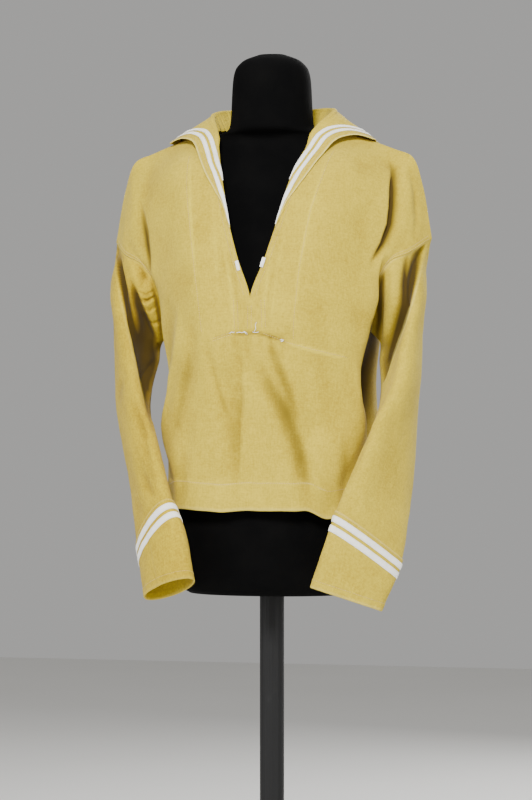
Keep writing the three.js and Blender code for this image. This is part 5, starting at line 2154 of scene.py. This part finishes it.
@dataclass
class Needlework:
    """Every stitched row of the jumper and the loose white threads.

    Args:
        body: the jumper's body.
        sleeves: its two sleeves.
        collar: its collar.
        neck_rows: distances of the double row from the collar's outer edge.
        seam_rows: distances of the double row from the armhole seam.
        v_rows: distances of the rows beside the V.
        tape_inset: how far a tape's stitches lie inside its edges.
        tape_lift: height of a tape's outer surface above the cloth.
    """

    body: JumperBody
    sleeves: list
    collar: SailorCollar
    neck_rows: tuple = (1.8, 6.5)
    seam_rows: tuple = (1.6, 6.0)
    v_rows: tuple = (2.0, 8.0)
    tape_inset: float = 0.9
    tape_lift: float = 0.85

    def __post_init__(self) -> None:
        """Starts one bundle of stitches for each thread."""
        self.front_tree = self.body.front.tree()
        self.khaki = Stitching()
        self.white = Stitching()

    def _on_front(self, path: tuple, step: float = 1.5) -> tuple:
        """A drawn line laid on the front panel."""
        flat = np.array(path, float)
        count = max(2, int(run_lengths(flat)[-1] / step))
        line = resample(flat, np.linspace(0, run_lengths(flat)[-1], count))
        points, normals = [], []
        for x, z in line:
            hit, normal, _, _ = self.front_tree.ray_cast(Vector((x, -400, z)), Vector((0, 1, 0)))
            if hit is not None:
                points.append(hit)
                normals.append(normal if normal.y < 0 else -normal)
        return np.array(points), np.array(normals)

    def _grid_row(self, grid: ClothGrid, distance: float, from_end: bool = False) -> tuple:
        """A line across a grid at a fixed distance from its first or last row.

        Args:
            grid: the cloth.
            distance: in mm.
            from_end: true to measure from the last row.

        Returns:
            The line's points and normals.
        """
        length = run_lengths(grid.points)
        target = length[-1] - distance if from_end else np.full(grid.shape[1], distance)
        columns = np.arange(grid.shape[1])
        rows = np.array([np.interp(target[c], length[:, c], np.arange(grid.shape[0])) for c in columns])
        points, normals = grid.at(rows, columns.astype(float))
        if grid.closed:
            points = np.concatenate([points, points[:1]])
            normals = np.concatenate([normals, normals[:1]])
        return points, normals

    def _hems(self) -> None:
        """The rows along the hem and beside the V."""
        for grid in (self.body.front, self.body.back):
            self.khaki.row(*self._grid_row(grid, self.body.hem_row))
        front = self.body.front
        levels = fine_places(FRONT_STEPS)
        top = int(np.searchsorted(levels, V_POINT_LEVEL))
        rows = np.arange(top + 1, front.shape[0] - 2).astype(float)
        for sign, first in ((-1, front.slit[0]), (1, front.slit[0] + 1)):
            for distance in self.v_rows:
                self.khaki.row(*self._inset(front, rows, first, sign, distance))

    def _inset(self, grid: ClothGrid, rows: Array, column: int, sign: int, distance: float) -> tuple:
        """A line that keeps a distance from a column of a grid.

        Args:
            grid: the cloth.
            rows: the rows it runs over.
            column: where it is measured from.
            sign: towards higher columns or lower ones.
            distance: in mm.

        Returns:
            The line's points and normals.
        """
        columns = []
        for r in rows.astype(int):
            run = grid.points[r, column::sign] if sign > 0 else grid.points[r, column::-1]
            length = run_lengths(run)
            columns.append(column + sign * np.interp(distance, length, np.arange(len(run))))
        return grid.at(rows, np.array(columns))

    def _armholes(self) -> None:
        """The double rows of the dropped armhole seams."""
        for grid, steps in ((self.body.front, FRONT_STEPS), (self.body.back, BACK_STEPS)):
            start = int(np.searchsorted(fine_places(steps), UNDERARM_LEVEL))
            rows = np.arange(start, grid.shape[0] - 1).astype(float)
            for column, sign in ((0, 1), (grid.shape[1] - 1, -1)):
                for distance in self.seam_rows:
                    self.khaki.row(*self._inset(grid, rows, column, sign, distance))

    def _cuffs(self) -> None:
        """Each cuff's top edge, its hem and the edges of its tapes."""
        for sleeve in self.sleeves:
            cuff = sleeve.cuff
            self.khaki.row(*self._grid_row(cuff, 1.8))
            self.khaki.row(*self._grid_row(cuff, sleeve.cuff_hem, from_end=True))
            for start in sleeve.tape_starts:
                for distance in (start + self.tape_inset, start + CUFF_TAPE_WIDTH - self.tape_inset):
                    points, normals = self._grid_row(cuff, distance)
                    self.white.row(points + normals * self.tape_lift, normals, 0.8)

    def _collar(self) -> None:
        """The collar's double edge row and the edges of its tapes."""
        grid = self.collar.grid
        across = run_lengths(grid.points.swapaxes(0, 1)).T
        rows = np.arange(2, grid.shape[0] - 2).astype(float)
        for distance in self.neck_rows:
            self._collar_row(self.khaki, rows, across, distance, 0.0, 1.0)
        for low, high in self.collar.tape_bands:
            for distance in (low + 0.8, high - 0.8):
                self._collar_row(self.white, rows, across, distance, self.tape_lift, 0.8)

    def _collar_row(
        self, thread: Stitching, rows: Array, across: Array, distance: float, lift: float, scale: float
    ) -> None:
        """One row along the collar at a distance from its outer edge.

        Args:
            thread: which bundle it joins.
            rows: the collar's rows it runs over.
            across: lengths across the collar at each of its points.
            distance: from the edge, in mm.
            lift: above the cloth, in mm.
            scale: how much larger than usual the stitches are.
        """
        grid = self.collar.grid
        reach = across[rows.astype(int), -18]
        rows = rows[reach > distance + 4]
        columns = [np.interp(distance, across[int(r)], np.arange(grid.shape[1])) for r in rows]
        points, normals = grid.at(rows, np.array(columns))
        thread.row(points + normals * lift, normals, scale)

    def build(self) -> None:
        """Collects every row."""
        self._hems()
        self._armholes()
        self._cuffs()
        self._collar()
        for path in FRONT_STITCH_LINES:
            self.khaki.row(*self._on_front(path))

    def dress(self, finishes: Finishes) -> None:
        """Makes the stitches' objects and the loose threads."""
        self.khaki.dress("stitching_khaki", "khaki_cloth", finishes.thread)
        self.white.dress("stitching_white", "white_tape", finishes.white)
        self._loose_threads(finishes)

    def _loose_threads(self, finishes: Finishes) -> Object:
        """The frayed white thread ends at the lower seam of the facing."""
        points, faces = [], []
        for path, radius in LOOSE_THREADS:
            line, normals = self._on_front(path, 0.7)
            lift = 0.5 + 0.8 * np.sin(np.linspace(0, math.pi, len(line)))
            add_tube(points, faces, line + normals * lift[:, None], radius)
        obj = new_object("loose_threads", np.array(points), faces)
        return stage_piece(obj, "loop_cotton", finishes.white)


LOOSE_THREADS = (
    (((-27, 999), (-24, 1001.5), (-22, 1000), (-20, 1001.5)), 0.55),
    (((-18, 1000), (-14, 1001), (-10, 1000), (-7, 1001), (-5, 998)), 0.5),
    (((-8, 1002), (-4, 1000), (-3, 997)), 0.4),
    (((6, 1001), (9, 1005), (8, 1010), (9.5, 1014)), 0.45),
    (((4, 1001), (8, 999.5), (13, 1001)), 0.45),
    (((40, 990), (43, 991.5), (44, 989), (41, 987.5), (43, 990), (46, 990.5)), 0.55),
)


def add_tube(points: list, faces: list, line: Array, radius: float) -> None:
    """Adds a thin round thread along a line.

    Args:
        points: the list that its points join.
        faces: the list that its faces join.
        line: its middle, in mm.
        radius: in mm.
    """
    sides = 6
    along = unit(np.gradient(line, axis=0))
    side = unit(np.cross(along, np.array([0.13, 0.97, 0.2])))
    upright = np.cross(side, along)
    first = len(points)
    for k, point in enumerate(line):
        end = min(k, len(line) - 1 - k)
        own = radius * (0.35 if end == 0 else 1.0)
        for i in range(sides):
            a = 2 * math.pi * i / sides
            points.append(point + own * (math.cos(a) * side[k] + math.sin(a) * upright[k]))
    for k in range(len(line) - 1):
        for i in range(sides):
            a, b = first + k * sides + i, first + k * sides + (i + 1) % sides
            faces.append((a, b, b + sides, a + sides))
    faces.append(tuple(first + i for i in range(sides))[::-1])
    last = first + (len(line) - 1) * sides
    faces.append(tuple(last + i for i in range(sides)))


# Tabs at the V


@dataclass(frozen=True)
class Tab:
    """A small folded white tab at an edge of the V."""

    side: Side
    x: float
    y: float
    z: float
    wide: float = 4.2
    tall: float = 13.0
    lean: float = 16.0

    def dress(self, finishes: Finishes) -> Object:
        """Makes the tab: a folded strip of tape, sewn down at its outer end.

        Args:
            finishes: the scene's materials.

        Returns:
            The tab's object.
        """
        lean = math.radians(self.lean) * self.side.value
        rows = []
        for t in np.linspace(-1, 1, 15):
            row = []
            for s in np.linspace(-1, 1, 7):
                bulge = -0.8 * (1 - t**4) * (1 - 0.3 * s * s) + 0.15 * math.sin(5 * t)
                x, z = s * self.wide / 2 * (1 - 0.08 * t * t), t * self.tall / 2
                row.append((
                    self.x + x * math.cos(lean) + z * math.sin(lean),
                    self.y + bulge - z * math.sin(math.radians(-8)),
                    self.z + z * math.cos(lean) - x * math.sin(lean),
                ))
            rows.append(row)
        grid = ClothGrid(np.array(rows))
        if grid.normals[..., 1].mean() > 0:
            grid = ClothGrid(grid.points, flip=True)
        name = f"tab_{self.side.label}"
        obj = shell_object(name, grid, 1.4)
        return stage_piece(obj, "loop_cotton", finishes.tape, f"loop_{self.side.label}")


TABS = (Tab(Side.LEFT, -17.5, -119.4, 1089), Tab(Side.RIGHT, 16.5, -118.7, 1093))


# Studio


# Name, place in metres, size in metres, power in watts, and the point it is aimed at.
LAMPS = (
    ("key_light", (0.3, -3.0, 2.9), 0.9, 190, (0, 0, 1.0)),
    ("fill_light", (-2.6, -2.4, 1.3), 1.8, 40, (0, 0, 1.0)),
    ("right_light", (2.9, -1.6, 1.4), 1.8, 34, (0, 0, 1.0)),
    ("top_light", (0.2, 1.2, 3.2), 1.8, 30, (0, 0, 1.2)),
    ("back_light", (0.9, 3.2, 1.9), 1.8, 90, (0, 0, 1.0)),
)


@dataclass
class Studio:
    """Camera, soft lights and the pale floor.

    Args:
        sensor: height of the camera's sensor, in mm.
        half_floor: half the floor's width, in metres.
        sky: strength of the light from all round.
    """

    sensor: float = 24.0
    half_floor: float = 6.0
    sky: float = 0.4

    def camera(self) -> None:
        """The camera at the photograph's viewing angle."""
        data = bpy.data.cameras.new("camera")
        data.sensor_fit = "VERTICAL"
        data.sensor_height = self.sensor
        data.lens = self.sensor * VIEW.distance / VIEW.coverage
        camera = bpy.data.objects.new("camera", data)
        camera.location = VIEW.place
        camera.rotation_euler = (math.radians(90), 0, math.radians(VIEW.azimuth))
        bpy.context.collection.objects.link(camera)
        bpy.context.scene.camera = camera

    def light(self, name: str, place: tuple, size: float, power: float, aim: tuple) -> None:
        """One soft square light aimed at a point.

        Args:
            name: its name.
            place: in metres.
            size: its width, in metres.
            power: in watts.
            aim: the point it faces, in metres.
        """
        data = bpy.data.lights.new(name, "AREA")
        data.size = size
        data.energy = power
        lamp = bpy.data.objects.new(name, data)
        lamp.location = place
        lamp.rotation_mode = "QUATERNION"
        lamp.rotation_quaternion = (Vector(aim) - Vector(place)).to_track_quat("-Z", "Y")
        bpy.context.collection.objects.link(lamp)

    def build(self, floor_finish: Material) -> None:
        """Camera, lights, world and floor.

        Args:
            floor_finish: the floor's material.
        """
        self.camera()
        for lamp in LAMPS:
            self.light(*lamp)
        world = bpy.data.worlds.new("studio")
        world.use_nodes = True
        background = world.node_tree.nodes["Background"]
        background.inputs["Color"].default_value = (1.0, 0.99, 0.97, 1.0)
        background.inputs["Strength"].default_value = self.sky
        bpy.context.scene.world = world
        half = self.half_floor
        mesh = bpy.data.meshes.new("floor")
        corners = [(-half, -half, 0), (half, -half, 0), (half, half, 0), (-half, half, 0)]
        mesh.from_pydata(corners, [], [(0, 1, 2, 3)])
        floor = bpy.data.objects.new("floor", mesh)
        mesh.materials.append(floor_finish)
        bpy.context.collection.objects.link(floor)


def main() -> None:
    """Builds every sub-assembly in order."""
    finishes = Finishes()
    Studio().build(PaleFloor("pale_floor").build())
    DressForm().dress(finishes)
    body = JumperBody()
    panels = body.dress(finishes)
    sleeves = [Sleeve(spec, body) for spec in SLEEVE_SPECS]
    dressed = [sleeve.dress(finishes) for sleeve in sleeves]
    collar = SailorCollar(body)
    falls = collar.dress(finishes)
    for tab in TABS:
        tab.dress(finishes)
    needlework = Needlework(body, sleeves, collar)
    needlework.build()
    needlework.dress(finishes)


if __name__ == "__main__":
    main()
